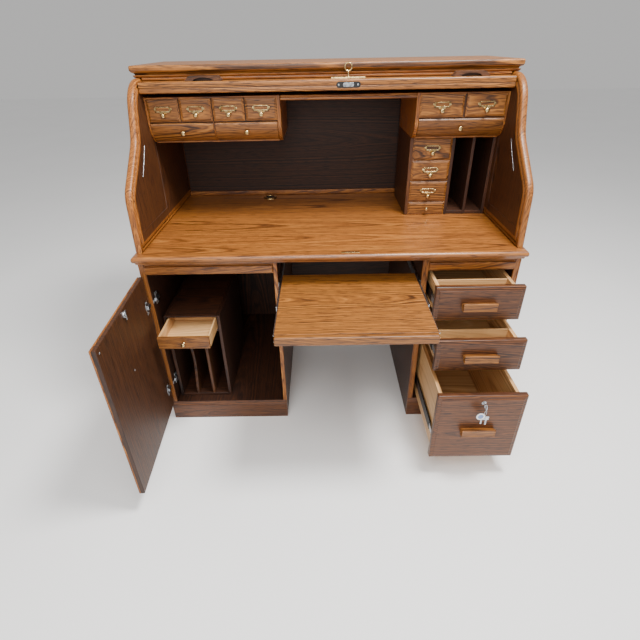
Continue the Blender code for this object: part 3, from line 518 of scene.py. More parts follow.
endSet = {
    "rail": 0.058, "round": 0.0100, "groove": (0.0100, 0.0190), "grooveDeep": 0.009, "field": 0.030,
    "bead": 0.0016, "slimBead": 0.0014, "proud": 0.0004, "stile": (0.368, 0.386), "sill": 0.078,
    "beadTop": 0.42}


def makeEnd(side, node):
    # the S shaped end: a bullnose and the tambour's groove carried round its outline, flat faces inside and
    # out, and slim beads on both where the frame meets its field
    low, high = cad(node)
    outline = endOutline()
    inner, outer = (high[0], low[0]) if side < 0 else (low[0], high[0])
    inward = math.copysign(1.0, inner - outer)
    radius, deep = endSet["round"], endSet["grooveDeep"]
    thick = abs(inner - outer)
    turn = np.linspace(0, math.pi / 2, 5)
    roundOver = [(radius * (1 - math.sin(a)), radius * (1 - math.cos(a))) for a in turn]
    onS = np.zeros(len(outline))
    onS[2:] = 1.0
    grooveNear, grooveFar = endSet["groove"]
    rows = [*roundOver, *[(inset, thick - depth) for inset, depth in roundOver[::-1]]]
    rings = [inPlane(offsetOutline(outline, inset), outer + inward * depth, 0) for inset, depth in rows]
    for inset, sunk in (
            (grooveNear, 0.0), (grooveNear + 0.0003, 1.0), (grooveFar - 0.0003, 1.0), (grooveFar, 0.0)):
        rings.append(inPlane(offsetOutline(outline, inset), inner - inward * deep * sunk * onS, 0))
    rings.append(inPlane(offsetOutline(outline, endSet["field"]), inner, 0))
    rings = np.stack(rings)
    if side > 0:
        rings = rings[:, ::-1]
    shell = part(skin(rings, capped=False), "oak", 2)
    # outside, a slim bead runs round the field, a frame's width in from the outline
    bead = [(outer + inward * endSet["proud"], y, z) for y, z in offsetOutline(outline, endSet["rail"])]
    # the inner face takes the dark mid finish: painted shade, for the face turned away from the light
    parts = [
        shell, part(flatFace(rings[0], -inward), "oak", 2),
        part(flatFace(rings[-1], inward), "oakShade", 2),
        part(tube(bead, endSet["bead"], 8, True), "oakFront", 2)]
    makePiece(node + "_shaped", "desk", parts + endFrame(inner, inward), node)


def flatFace(ring, facing):
    # a flat outline across x, cut into triangles, turned to face one way
    triangles = tessellate_polygon([[Vector((0.0, y, z)) for _, y, z in ring]])
    faces = []
    for a, b, c in triangles:
        first, second = ring[b] - ring[a], ring[c] - ring[a]
        turns = first[1] * second[2] - first[2] * second[1]
        faces.append([a, b, c] if turns * facing > 0 else [a, c, b])
    return np.array(ring), faces


def endFrame(inner, inward):
    # inside, a slim bead up the rear stile and along the bottom rail, just proud of the face
    bottom, stile = surface + endSet["rail"], [deskFront + y for y in endSet["stile"]]
    path = [
        (stile[1], surface + endSet["beadTop"]), (stile[0], bottom),
        (deskFront + endSet["sill"], bottom + 0.002)]
    x = inner - inward * endSet["proud"]
    return [part(tube([(x, y, z) for y, z in path], endSet["slimBead"], 8), "oakShade", 2)]


def makeGlintStrips():
    # a thin steel strip on each end, beside the slope of the S, where a thin bright line shows: partly a
    # strip, partly a painted glint
    for side in (-1, 1):
        x = side * (abs(cad("end_panel_left")[1][0]) - 0.0008)
        path = [
            (x, deskFront + y, z) for y,
            z in ((0.188, 0.985), (0.206, 1.006), (0.232, 1.036), (0.265, 1.076))]
        strip = part(tube(path, 0.0007, 8), "steel")
        makePiece("glint_strip_" + ("left" if side < 0 else "right"), "desk", [strip])


def makeBacks():
    low, high = cad("inner_back")
    # the false back takes the dark veneer finish: painted shade deep in the hutch, with the wood's own
    # darker stain
    panel = eased(low, high, 0.0006, "oakVeneer", 0)
    ledge = eased(
        (low[0], low[1] - 0.012, low[2]), (high[0], low[1] - 0.0003, low[2] + 0.020), 0.003, "oak", 0,
        axis=0)
    makePiece("false_back_panel", "desk", [panel, ledge], "inner_back")
    low, high = cad("outer_back")
    makePiece(
        "outer_back_panel", "desk", [eased(low, high, 0.0008, "oakPlanks", 2)], "outer_back")
    # the modesty board takes the dark veneer finish: painted shade at the back of the knee hole
    low, high = cad("modesty_panel")
    makePiece(
        "modesty_board", "desk", [eased(low, high, finish="oakVeneer", along=0)], "modesty_panel")


def framedSide(low, high, outward, finish="oakVeneer"):
    # a pedestal side: a flat board with stiles, rails and a raised field on its outer face
    face, stile, gap = sideSet["face"], sideSet["stile"], sideSet["gap"]
    coreLow, coreHigh = low.copy(), high.copy()
    if outward < 0:
        coreLow[0] += face
    else:
        coreHigh[0] -= face
    parts = lipped(coreLow, coreHigh, finish)
    x = (low[0], low[0] + face) if outward < 0 else (high[0] - face, high[0])
    rows = (
        (low[1], low[1] + stile, low[2], high[2], 2), (high[1] - stile, high[1], low[2], high[2], 2),
        (low[1] + stile, high[1] - stile, high[2] - stile, high[2], 1),
        (low[1] + stile, high[1] - stile, low[2], low[2] + sideSet["sill"], 1))
    for y0, y1, z0, z1, along in rows:
        parts.append(eased((x[0], y0, z0), (x[1], y1, z1), 0.002, "oak", along))
    fieldLow = (x[0], low[1] + stile + gap, low[2] + sideSet["sill"] + gap)
    fieldHigh = (x[1], high[1] - stile - gap, high[2] - stile - gap)
    slope = ((0.030, 0.0003), (0.026, 0.0008), (0.003, 0.0042), (0.0, face))
    if outward > 0:
        slope = tuple((inset, face - depth) for inset, depth in slope[::-1])
    parts.append(part(skin(rectangleRings(fieldLow, fieldHigh, 0, slope, corner=0.001)), "oakFront", 2))
    return parts


lipDeep = 0.007  # the bright solid edging on a pedestal side's front edge
sideSet = {"face": 0.0055, "stile": 0.070, "sill": 0.112, "gap": 0.006}


def lipped(low, high, finish):
    # a board with a solid oak edging at the front
    near = (high[0], low[1] + lipDeep, high[2])
    return [
        eased(low, near, 0.0012, "oak", 2, axis=1),
        eased((low[0], low[1] + lipDeep, low[2]), high, 0.0008, finish, 2)]


def makePedestals():
    for side, name in ((-1, "left_pedestal"), (1, "right_pedestal")):
        low, high = cad(name + "_outer_side")
        makePiece(name + "_outer_panel", "desk", framedSide(low, high, side), name + "_outer_side")
        # the knee hole's inner sides take the dark mid finish: painted shade under the desktop
        low, high = cad(name + "_inner_side")
        makePiece(
            name + "_inner_panel", "desk", lipped(low, high, "oakShade"), name + "_inner_side")
        low, high = cad(name + "_back")
        makePiece(
            name + "_back_panel", "desk", [eased(low, high, 0.0008, "oakVeneer", 2)], name + "_back")
        low, high = cad(name + "_base")
        front = low[1] + 0.0067
        mould = np.array(
            (
                (0.0, 0.0), (0.0, 0.068), (0.0012, 0.071), (0.0030, 0.0725), (0.0030, 0.0760),
                (0.0042, 0.0810), (0.0058, 0.0850), (0.0060, 0.0868)))
        outline = [(front, low[2]), (front, high[2])] + [(low[1] + a, low[2] + b) for a, b in mould[::-1]]
        plinth = part(easedOutline(outline, 0, low[0], high[0], 0.0004), "oakDrawer", 0)
        floorHigh = high[2] - 0.001
        inside = (cad(name + "_back")[0][0], cad(name + "_back")[1][0])
        floor = eased(
            (inside[0], front + 0.0005, floorHigh - 0.016), (inside[1], high[1], floorHigh),
            finish="oakVeneer", along=1)
        makePiece(name + "_plinth_and_floor", "desk", [plinth, floor], name + "_base")
    for name in ("upper_drawer_rail", "lower_drawer_rail"):
        makePiece(
            name + "_board", "desk", [part(easedBoard(*cad(name), 0.0012, axis=0), "oak", 0)], name)
    for name in ("left_slide", "right_slide"):
        makeSlide(name)


def makeSlide(name):
    # a pull-out writing board, and the slotted frame it runs in
    low, high = cad(name)
    frameLow, frameHigh = cad(name + "_frame")
    lip = eased(low, (high[0], frameLow[1] - 0.0003, high[2]), 0.0025, "oak", 0, axis=0)
    inset = 0.0125
    board = eased(
        (low[0] + inset, frameLow[1] - 0.001, low[2] + 0.004), (high[0] - inset, high[1], high[2] - 0.004),
        0.001, "oakPlanks", 0)
    makePiece(name + "_board", name, [lip, board], name)
    rails = [
        eased(frameLow, (frameHigh[0], frameHigh[1], low[2] + 0.003), 0.0008, "oak", 0, axis=0),
        eased((frameLow[0], frameLow[1], high[2] - 0.003), frameHigh, 0.0008, "oak", 0, axis=0)]
    for x0, x1 in ((frameLow[0], low[0] + inset - 0.001), (high[0] - inset + 0.001, frameHigh[0])):
        rails.append(
            eased(
                (x0, frameLow[1] + 0.0005, low[2] + 0.0025), (x1, frameHigh[1], high[2] - 0.0025), 0.0005,
                "oak", 2))
    makePiece(name + "_surround", "desk", rails, name + "_frame")


def knob(centre, outward, size=0.0075, stand=0.015, finish="brass"):
    # a turned mushroom knob on a stem, along y; outward is -1 towards the sitter
    profile = np.array(
        (
            (0.0045, 0.0), (0.0045, 0.0012), (0.0026, 0.0022), (0.0022, 0.0060), (0.0040, 0.0078),
            (0.0066, 0.0092), (0.0075, 0.0112), (0.0072, 0.0132), (0.0052, 0.0146), (0.0018, 0.0150)))
    profile = profile * (size / 0.0075, stand / 0.0150)
    profile = np.stack([profile[:, 0], outward * profile[:, 1]], axis=-1)
    if outward < 0:
        profile = profile[::-1]
    return part(turned(profile, centre, 1, 20), finish)


holderSet = {"width": 0.055, "height": 0.0185, "rim": 0.0048, "thick": 0.0030, "drop": 0.0165}


def labelHolder(x, front, z):
    # a stamped card frame with a pointed plate under it and a knob at the point, against the drawer front
    half, tall, rim = holderSet["width"] / 2, holderSet["height"], holderSet["rim"]
    thick, drop = holderSet["thick"], holderSet["drop"]
    parts = []
    top, bottom = z + drop / 2 + tall / 2, z + drop / 2 - tall / 2
    for low, high in (
            ((-half, bottom), (half, bottom + rim)), ((-half, bottom), (-half + rim, top)),
            ((half - rim, bottom), (half, top)), ((-half, top - rim * 0.6), (half, top))):
        parts.append(
            eased(
                (x + low[0], front - thick, low[1]), (x + high[0], front, high[1]), 0.0007, "brass", axis=1))
    plate = np.array(
        [
            (bottom + 0.001, 0.014), (bottom + 0.001, -0.014), (bottom - 0.004, -0.0115),
            (bottom - 0.007, -0.006), (bottom - 0.012, -0.0045), (bottom - drop, -0.003),
            (bottom - drop, 0.003), (bottom - 0.012, 0.0045), (bottom - 0.007, 0.006),
            (bottom - 0.004, 0.0115)]) + (0.0, x)
    parts.append(part(easedOutline(plate[::-1], 1, front - thick * 0.7, front, 0.0004), "brass"))
    for side in (-1, 1):
        ear = part(
            turned(
                ((0.0040, 0.0), (0.0042, -0.0010), (0.0026, -0.0020))[::-1],
                (x + side * (half + 0.0015), front, z + drop / 2 + 0.001), 1, 14),
            "brass")
        parts.append(ear)
    card = eased(
        (x - half + rim, front - 0.0008, bottom + rim), (x + half - rim, front, top - rim * 0.6), 0.0003,
        "oakFront", 0, axis=1)
    parts.append(card)
    parts.append(knob((x, front - 0.001, bottom - drop * 0.62), -1, 0.0080, 0.0150))
    return parts


gallerySet = {
    "wall": 0.0064, "panel": 0.013, "top": 0.005, "floor": 0.0065, "setBack": 0.0056, "play": 0.0008,
    "shelf": (0.372, 0.377), "curveTop": 0.0820, "curveDeep": 0.055, "leftEnd": -0.165}


def curvedFront(low, high, zFrom, zTo, count=9):
    # a quarter ellipse that falls from the front face under the upper row and runs back to the floor
    rise = high[2] - gallerySet["curveTop"] - low
    share = np.linspace(
        math.asin(min(1, max(0, (high[2] - gallerySet["curveTop"] - zFrom) / rise))),
        math.asin(min(1, max(0, (high[2] - gallerySet["curveTop"] - zTo) / rise))), count)
    return np.stack(
        [
            high[1] + gallerySet["curveDeep"] * (1 - np.cos(share)),
            high[2] - gallerySet["curveTop"] - rise * np.sin(share)],
        axis=-1)


def drawerBox(low, high, frontThick, wall=0.007, bottom=0.005, finish="birch", topGap=0.0):
    # sides, back and bottom behind a drawer's front
    near = low[1] + frontThick - 0.0002
    z1 = high[2] - topGap
    boards = [
        ((low[0], near, low[2]), (low[0] + wall, high[1], z1), 1),
        ((high[0] - wall, near, low[2]), (high[0], high[1], z1), 1),
        ((low[0] + wall, high[1] - wall, low[2]), (high[0] - wall, high[1], z1), 0),
        ((low[0] + wall, near, low[2]), (high[0] - wall, high[1] - wall, low[2] + bottom), 0)]
    return [eased(a, b, 0.0008, finish, along) for a, b, along in boards]


def bevelledFront(low, high, thick, bevel=0.009, finish="oakFront"):
    # a raised field with a sloped margin, facing the sitter; its edge laps over the partitions beside it
    lap = 0.0017
    rows = (
        (bevel, -0.0025), (bevel - 0.0006, -0.0023), (0.0010, 0.0008), (0.0002, 0.0014), (0.0, 0.0026),
        (0.0, 0.0052))
    lapLow, lapHigh = low - (lap, 0, lap), np.array((high[0] + lap, low[1] + 0.0052, high[2] + lap))
    return [
        part(skin(rectangleRings(lapLow, lapHigh, 1, rows, corner=0.0012)), finish, 0),
        eased(low + (0, 0.0050, 0), (high[0], low[1] + thick, high[2]), 0.0005, finish, 0, axis=1)]


def makeSmallDrawer(node, fitting):
    low, high = cad(node)
    thick = 0.012
    parts = [*bevelledFront(low, high, thick), *drawerBox(low, high, thick)]
    x, z = (low[0] + high[0]) / 2, (low[2] + high[2]) / 2
    if fitting == "holder":
        parts += labelHolder(x, low[1] - 0.0025, z - 0.0045)
    else:
        parts.append(knob((x, low[1] - 0.0025, z), -1, 0.0062, 0.0140))
    makePiece(node + "_made", node, parts, node)


def makeCurvedDrawer(node, caseNode):
    low, high = cad(node)
    caseLow, caseHigh = cad(caseNode)
    top = caseHigh.copy()
    top[1] = low[1]
    floor = caseLow[2]
    outer = curvedFront(floor, top, high[2], low[2])
    inner = offsetOutline(
        np.concatenate([outer, [(high[1], low[2]), (high[1], high[2])]]), 0.010)[:len(outer)]
    inner[:, 1] = np.clip(inner[:, 1], low[2], high[2])
    inner[0, 1], inner[-1, 1] = high[2], low[2] + 0.0005
    outline = np.concatenate([outer, inner[::-1]])
    front = part(easedOutline(outline, 0, low[0], high[0], 0.0010), "oakFront", 0)
    boxLow = low.copy()
    boxLow[1] = low[1] + gallerySet["curveDeep"] + 0.004
    sides = drawerBox(boxLow, high, 0.0)
    x = (low[0] + high[0]) / 2
    z = low[2] + 0.47 * (high[2] - low[2])
    y = float(np.interp(z, outer[::-1, 1], outer[::-1, 0]))
    makePiece(
        node + "_made", node, [front, *sides, knob((x, y + 0.002, z), -1, 0.0085, 0.0165)], node)


def endShape(front, back, high, floor):
    # the side view of a gallery's end: straight down the front, round under and back
    top = np.array((0.0, front, high))
    curve = curvedFront(floor, top, high - gallerySet["curveTop"], floor)
    return np.array([(front, high), *curve.tolist(), (back, floor), (back, high)])


def makeGalleries():
    floor = cad("gallery_left_case")[0][2]
    shelf = [surface + height for height in gallerySet["shelf"]]
    wall, panel, play = gallerySet["wall"], gallerySet["panel"], gallerySet["play"]
    for name in ("gallery_left_case", "gallery_right_case"):
        low, high = cad(name)
        left = name == "gallery_left_case"
        if left:
            high[0] = gallerySet["leftEnd"]  # the shelf between the galleries runs on from here
        front, back, top = low[1], high[1], high[2]
        ceiling, setBack = top - gallerySet["top"], front + gallerySet["setBack"]
        shape = endShape(front, back, top, floor)
        thickEnd = (high[0] - panel, high[0]) if left else (low[0], low[0] + panel)
        thinEnd = (low[0], low[0] + wall) if left else (high[0] - wall, high[0])
        inside = (thinEnd[1], thickEnd[0]) if left else (thickEnd[1], thinEnd[0])
        parts = [
            part(easedOutline(shape, 0, *thickEnd, 0.0016), "oak", 2),
            part(easedOutline(shape, 0, *thinEnd, 0.0012), "oak", 2)]
        parts.append(
            eased((inside[0], front + 0.0005, ceiling), (inside[1], back, top), 0.0012, "oak", 0, axis=0))
        # the shelf under the upper row and the dividers between its drawers take the dark mid finish, the
        # back the dark veneer: painted shade inside the gallery
        parts.append(
            eased((inside[0], setBack, shelf[0]), (inside[1], back, shelf[1]), 0.001, "oakShade", 0, axis=0))
        floorFront = front + gallerySet["curveDeep"] * 0.72
        parts.append(
            eased(
                (inside[0], floorFront, floor), (inside[1], back, floor + gallerySet["floor"]), 0.0015,
                "oak", 0, axis=0))
        parts.append(
            eased((inside[0], back - wall, floor), (inside[1], back, ceiling), 0.0008, "oakVeneer", 0))
        drawers = sorted(n for n in frame["nodes"] if n.startswith("left_label" if left else "right_label"))
        for near, far in zip(drawers, drawers[1:]):
            x0, x1 = cad(near)[1][0] + play, cad(far)[0][0] - play
            parts.append(
                eased((x0, setBack, shelf[1]), (x1, back - wall, ceiling), 0.0010, "oakShade", 2, axis=2))
        if left:
            x0, x1 = cad("left_curved_drawer_1")[1][0] + play, cad("left_curved_drawer_2")[0][0] - play
            divider = endShape(front + 0.001, back - wall, top, floor)
            divider[0, 1] = divider[-1, 1] = shelf[0]
            parts.append(part(easedOutline(divider, 0, x0, x1, 0.0010), "oak", 2))
            shelfLow, shelfHigh = (
                high[0] + 0.0002, front, top - 0.016), (cad(name)[1][0] + 0.0003, back, top)
            rows = (
                (0.003, 0.0), (0.0006, 0.0010), (0.0, 0.0030), (0.0, 0.0080), (0.0030, 0.0092),
                (0.0034, 0.0108), (0.0006, 0.0122), (0.0, 0.0136), (0.0012, 0.0156), (0.003, 0.0160))
            parts.append(part(skin(rectangleRings(shelfLow, shelfHigh, 2, rows, corner=0.0038)), "oak", 0))
        makePiece(name + "_joined", "desk", parts, name)
    for node in sorted(frame["nodes"]):
        if node.startswith(("left_label_drawer", "right_label_drawer")):
            makeSmallDrawer(node, "holder")
        elif node.startswith("stack_drawer"):
            makeSmallDrawer(node, "knob" if node.endswith("1") else "holder")
        elif node.startswith("left_curved"):
            makeCurvedDrawer(node, "gallery_left_case")
    makeCurvedDrawer("right_curved_drawer", "gallery_right_case")
    makeStack()
    print("galleries and their drawers made")


stackSet = {
    "uprights": ((0.479, 0.491), (0.555, 0.567), (0.632, 0.6447)), "panel": 0.0135, "slotFloor": 0.0137,
    "setBack": 0.006, "back": 0.0064}


def makeStack():
    # under the right gallery: shelves between the four drawers, the slots' uprights, their floors and back
    low, high = cad("gallery_right_stack")
    front, back, setBack = low[1], high[1], stackSet["setBack"]
    x0, x1 = low[0] + stackSet["panel"], stackSet["uprights"][0][0]
    # the left panel and the shelves take the dark mid finish, the uprights, slot floors and back the dark
    # veneer: painted shade that makes the slots nearly black
    parts = [eased(low, (x0, back, high[2]), 0.0016, "oakShade", 2, axis=0)]
    for i in (1, 2, 3):
        z0 = cad("stack_drawer_{}".format(i))[1][2] + gallerySet["play"]
        z1 = cad("stack_drawer_{}".format(i + 1))[0][2] - gallerySet["play"]
        parts.append(
            eased((x0 - 0.001, front + setBack, z0), (x1 + 0.001, back, z1), 0.0008, "oakShade", 0, axis=0))
    for a, b in stackSet["uprights"]:
        parts.append(
            eased((a, front, low[2]), (min(b, high[0]), back, high[2]), 0.0016, "oakVeneer", 2, axis=0))
    for (_, a), (b, _) in zip(stackSet["uprights"], stackSet["uprights"][1:]):
        parts.append(
            eased(
                (a - 0.001, front + 0.002, low[2]), (b + 0.001, back, low[2] + stackSet["slotFloor"]),
                0.001, "oakVeneer", 0, axis=0))
    parts.append(
        eased(
            (x0, back - stackSet["back"], low[2]), (high[0] - 0.001, back, high[2]), 0.0008, "oakVeneer", 2))
    makePiece("letter_slots_and_shelves", "desk", parts, "gallery_right_stack")


def makeSlotCase():
    low, high = cad("slot_case")
    wall = 0.012
    cellLow = high[2] - 0.057
    boards = [
        ((low[0], low[1], low[2]), (low[0] + wall, high[1], high[2]), 2),
        ((high[0] - wall, low[1], low[2]), (high[0], high[1], high[2]), 2),
        ((low[0] + wall, low[1], high[2] - 0.006), (high[0] - wall, high[1], high[2]), 0),
        ((low[0] + wall, low[1], cellLow - wall), (high[0] - wall, high[1], cellLow), 0),
        ((low[0] + wall, low[1], low[2]), (high[0] - wall, high[1], low[2] + wall), 0),
        ((low[0] + wall, high[1] - wall, low[2] + wall), (high[0] - wall, high[1], high[2] - 0.006), 2)]
    # the case's boards take the dark veneer finish and its dividers the dark mid finish: painted shade in
    # the slots
    parts = [eased(a, b, 0.0015, "oakVeneer", along) for a, b, along in boards]
    width = (high[0] - low[0] - 4 * wall) / 3
    z = np.linspace(low[2] + wall, cellLow - wall, 26)
    for i in (1, 2):
        x0 = low[0] + wall + i * width + (i - 1) * wall
        # the first divider's front edge waves back by a raised cosine so that papers can be gripped
        wave = 0.030 if i == 1 else 0.0
        share = (z - z[0]) / (z[-1] - z[0])
        edge = low[1] + 0.002 + wave * (1 - np.cos(2 * math.pi * share)) / 2
        rear = [(high[1] - wall, z[0]), (high[1] - wall, z[-1])]
        outline = np.concatenate([np.stack([edge, z], axis=-1)[::-1], rear])
        parts.append(part(easedOutline(outline, 0, x0, x0 + wall, 0.0025), "oakShade", 2))
    makePiece("slot_case_joined", "desk", parts, "slot_case")
    low, high = cad("case_drawer")
    thick = 0.012
    front = eased(low, (high[0], low[1] + thick, high[2]), 0.002, "oakFront", 0)
    parts = [
        front, *drawerBox(low, high, thick, topGap=0.004),
        knob(((low[0] + high[0]) / 2, low[1], (low[2] + high[2]) / 2), -1, 0.0075, 0.0170)]
    makePiece("case_drawer_made", "case_drawer", parts, "case_drawer")


def channel(x0, x1, y0, y1, z0, z1, mouth, finish="steel"):
    # a rolled steel channel along y: a web with two lips towards the mouth (1 to +x, -1 to -x)
    gauge = 0.0014
    web = (x0, x0 + gauge) if mouth > 0 else (x1 - gauge, x1)
    boxes = [
        ((web[0], y0, z0), (web[1], y1, z1)), ((x0, y0, z0), (x1, y1, z0 + gauge)),
        ((x0, y0, z1 - gauge), (x1, y1, z1))]
    return [eased(a, b, 0.0004, finish) for a, b in boxes]


def screws(places, axis, outward, finish="steel"):
    shape = np.array(((0.0034, 0.0), (0.0034, 0.0006), (0.0024, 0.0013), (0.0006, 0.0015)))
    shape = np.stack([shape[:, 0], outward * shape[:, 1]], axis=-1)
    shape = shape if outward > 0 else shape[::-1]
    return [part(turned(shape, place, axis, 12), finish) for place in places]


traySet = {
    "nose": 0.020, "thick": 0.019, "runnerThick": 0.0042, "runnerGap": 0.0124, "runnerFrom": 0.034,
    "runnerLong": 0.40, "runnerHang": (0.034, 0.002), "play": 0.004}


def makeTray():
    # a board with a rounded nose between two steel runners: one member under its edge, one on the carcase
    low, high = cad("keyboard_tray")
    gauge, play = traySet["runnerThick"], traySet["play"]
    nose = eased(low, (high[0], low[1] + traySet["nose"], high[2]), 0.0045, "oakFront", 0, axis=0)
    flat = eased(
        (low[0], low[1] + traySet["nose"] - 0.0002, high[2] - traySet["thick"]), high, 0.0012, "oakFront",
        0)
    makePiece("keyboard_tray_board", "keyboard_tray", [nose, flat], "keyboard_tray")
    for side, name in ((-1, "left"), (1, "right")):
        edge = low[0] if side < 0 else high[0]
        z0, z1 = (high[2] - drop for drop in traySet["runnerHang"])
        inner = sorted((edge, edge + side * gauge))
        makePiece(
            "tray_runner_inner_" + name, "keyboard_tray",
            channel(
                inner[0], inner[1], low[1] + traySet["nose"] + play, high[1], z0 + play, z1 - play, side))
        wallX = edge + side * traySet["runnerGap"]
        outer = sorted((wallX, wallX - side * gauge))
        start = deskFront + traySet["runnerFrom"]
        makePiece(
            "tray_runner_outer_" + name, "desk",
            channel(outer[0], outer[1], start, start + traySet["runnerLong"], z0, z1, -side))
        node = frame["nodes"]["tray_runner_" + name]
        node.data.materials.clear()
        node.data.materials.append(finishes["steel"])


pullSet = {"endSlope": 0.006, "neck": 0.0075, "hollow": 0.0016}


def makePull(name, body):
    # a carved block: a broad front face, undercut towards the drawer, with ends that slope outwards
    low, high = cad(name)
    deep = high[1] - low[1]
    neck, hollow = pullSet["neck"], pullSet["hollow"]
    rows = (
        (0.0120, hollow), (0.0050, hollow * 0.7), (0.0022, 0.0004), (0.0008, 0.0006), (0.0, 0.0022),
        (0.0004, 0.0070), (0.0028, 0.0120), (neck * 0.8, 0.0165), (neck, 0.0200), (neck, deep + 0.0008))
    points, faces = skin(rectangleRings(low, high, 1, rows, corner=0.0125, steps=5))
    middle = (low + high) / 2
    half = (high[0] - low[0]) / 2
    back = (points[:, 1] - low[1]) / deep
    # the ends lean: the block is shorter at the front than at the drawer
    share = (points[:, 0] - middle[0]) / half
    wide = half - pullSet["endSlope"] * (1 - np.clip(back, 0, 1))
    widest = np.maximum(np.abs(share), 1e-6)
    reach = np.where(np.abs(share) > 0.85, wide / half / widest, 1.0)
    points[:, 0] = middle[0] + share * half * np.minimum(reach, 1.06)
    points[:, 0] = np.clip(points[:, 0], low[0], high[0])
    makePiece(name + "_carved", body, [part((points, faces), "oakFront", 0)], name)


bigSet = {
    "thick": 0.019, "room": 0.0127, "boxUp": 0.012, "boxDown": 0.020, "wall": 0.012, "bottom": 0.006,
    "partition": 0.19, "runnerUp": 0.045, "fileRunnerUp": 0.080, "runnerTall": 0.021, "runnerLong": 0.45,
    "play": 0.004}


def makeBigDrawer(name):
    # a drawer with a raised front, a birch box and a carved pull; the upper two have a cross partition
    low, high = cad(name)
    thick, wall, play = bigSet["thick"], bigSet["wall"], bigSet["play"]
    isFile = name == "file_drawer"
    rows = (
        (0.0150, -0.0035), (0.0140, -0.0034), (0.0128, -0.0015), (0.0110, -0.0012), (0.0060, -0.0006),
        (0.0022, 0.0006), (0.0004, 0.0024), (0.0, 0.0045), (0.0, thick - 0.001), (0.001, thick))
    front = part(
        skin(rectangleRings(low, (high[0], low[1] + thick, high[2]), 1, rows, corner=0.003)), "oakDrawer",
        0)
    room = bigSet["room"]
    boxLow = np.array((low[0] + room, low[1], low[2] + bigSet["boxUp"]))
    boxHigh = np.array((high[0] - room, high[1], high[2] - bigSet["boxDown"]))
    parts = [front, *drawerBox(boxLow, boxHigh, thick, wall, bigSet["bottom"])]
    if not isFile:
        depth = high[1] - low[1] - thick
        middle = low[1] + thick + bigSet["partition"] * depth
        parts.append(
            eased(
                (boxLow[0] + wall, middle - 0.004, boxLow[2] + bigSet["bottom"]),
                (boxHigh[0] - wall, middle + 0.004, boxHigh[2] - play), 0.001, "birch", 0))
    makePiece(name + "_made", name, parts, name)
    makePull(name + "_pull", name)
    # a ball bearing runner on each side: a member on the box, one half way out, one on the carcase
    z = boxLow[2] + bigSet["fileRunnerUp" if isFile else "runnerUp"]
    tall = bigSet["runnerTall"]
    for side, label in ((-1, "left"), (1, "right")):
        edge = boxLow[0] if side < 0 else boxHigh[0]
        near = sorted((edge, edge + side * 0.0040))
        member = channel(
            near[0], near[1], low[1] + thick + play, boxHigh[1], z - tall * 0.6, z + tall * 0.6, side)
        member += screws([(edge + side * 0.0014, low[1] + thick + d, z) for d in (0.03, 0.13)], 0, side)
        makePiece("{}_runner_inner_{}".format(name, label), name, member)
        wallX = edge + side * 0.0122
        far = sorted((wallX, wallX - side * 0.0046))
        start = cad("right_pedestal_outer_side")[0][1] + thick + play
        makePiece(
            "{}_runner_outer_{}".format(name, label), "desk",
            channel(
                far[0], far[1], start, start + bigSet["runnerLong"], z - tall, z + tall, -side,
                "blackSteel"))
        # the dark middle member stands out with the drawer and ends in a bright cap
        middle = sorted((edge + side * 0.0042, edge + side * 0.0072))
        cap = low[1] + thick + 0.050
        makePiece(
            "{}_runner_middle_{}".format(name, label), name,
            [
                eased(
                    (middle[0], cap, z - tall * 0.94), (middle[1], boxHigh[1] - 0.02, z + tall * 0.94),
                    0.0008, "blackSteel"),
                eased(
                    (middle[0], cap - 0.036, z - tall * 0.5), (middle[1], cap - 0.0002, z + tall * 0.5),
                    0.0008, "steel")])


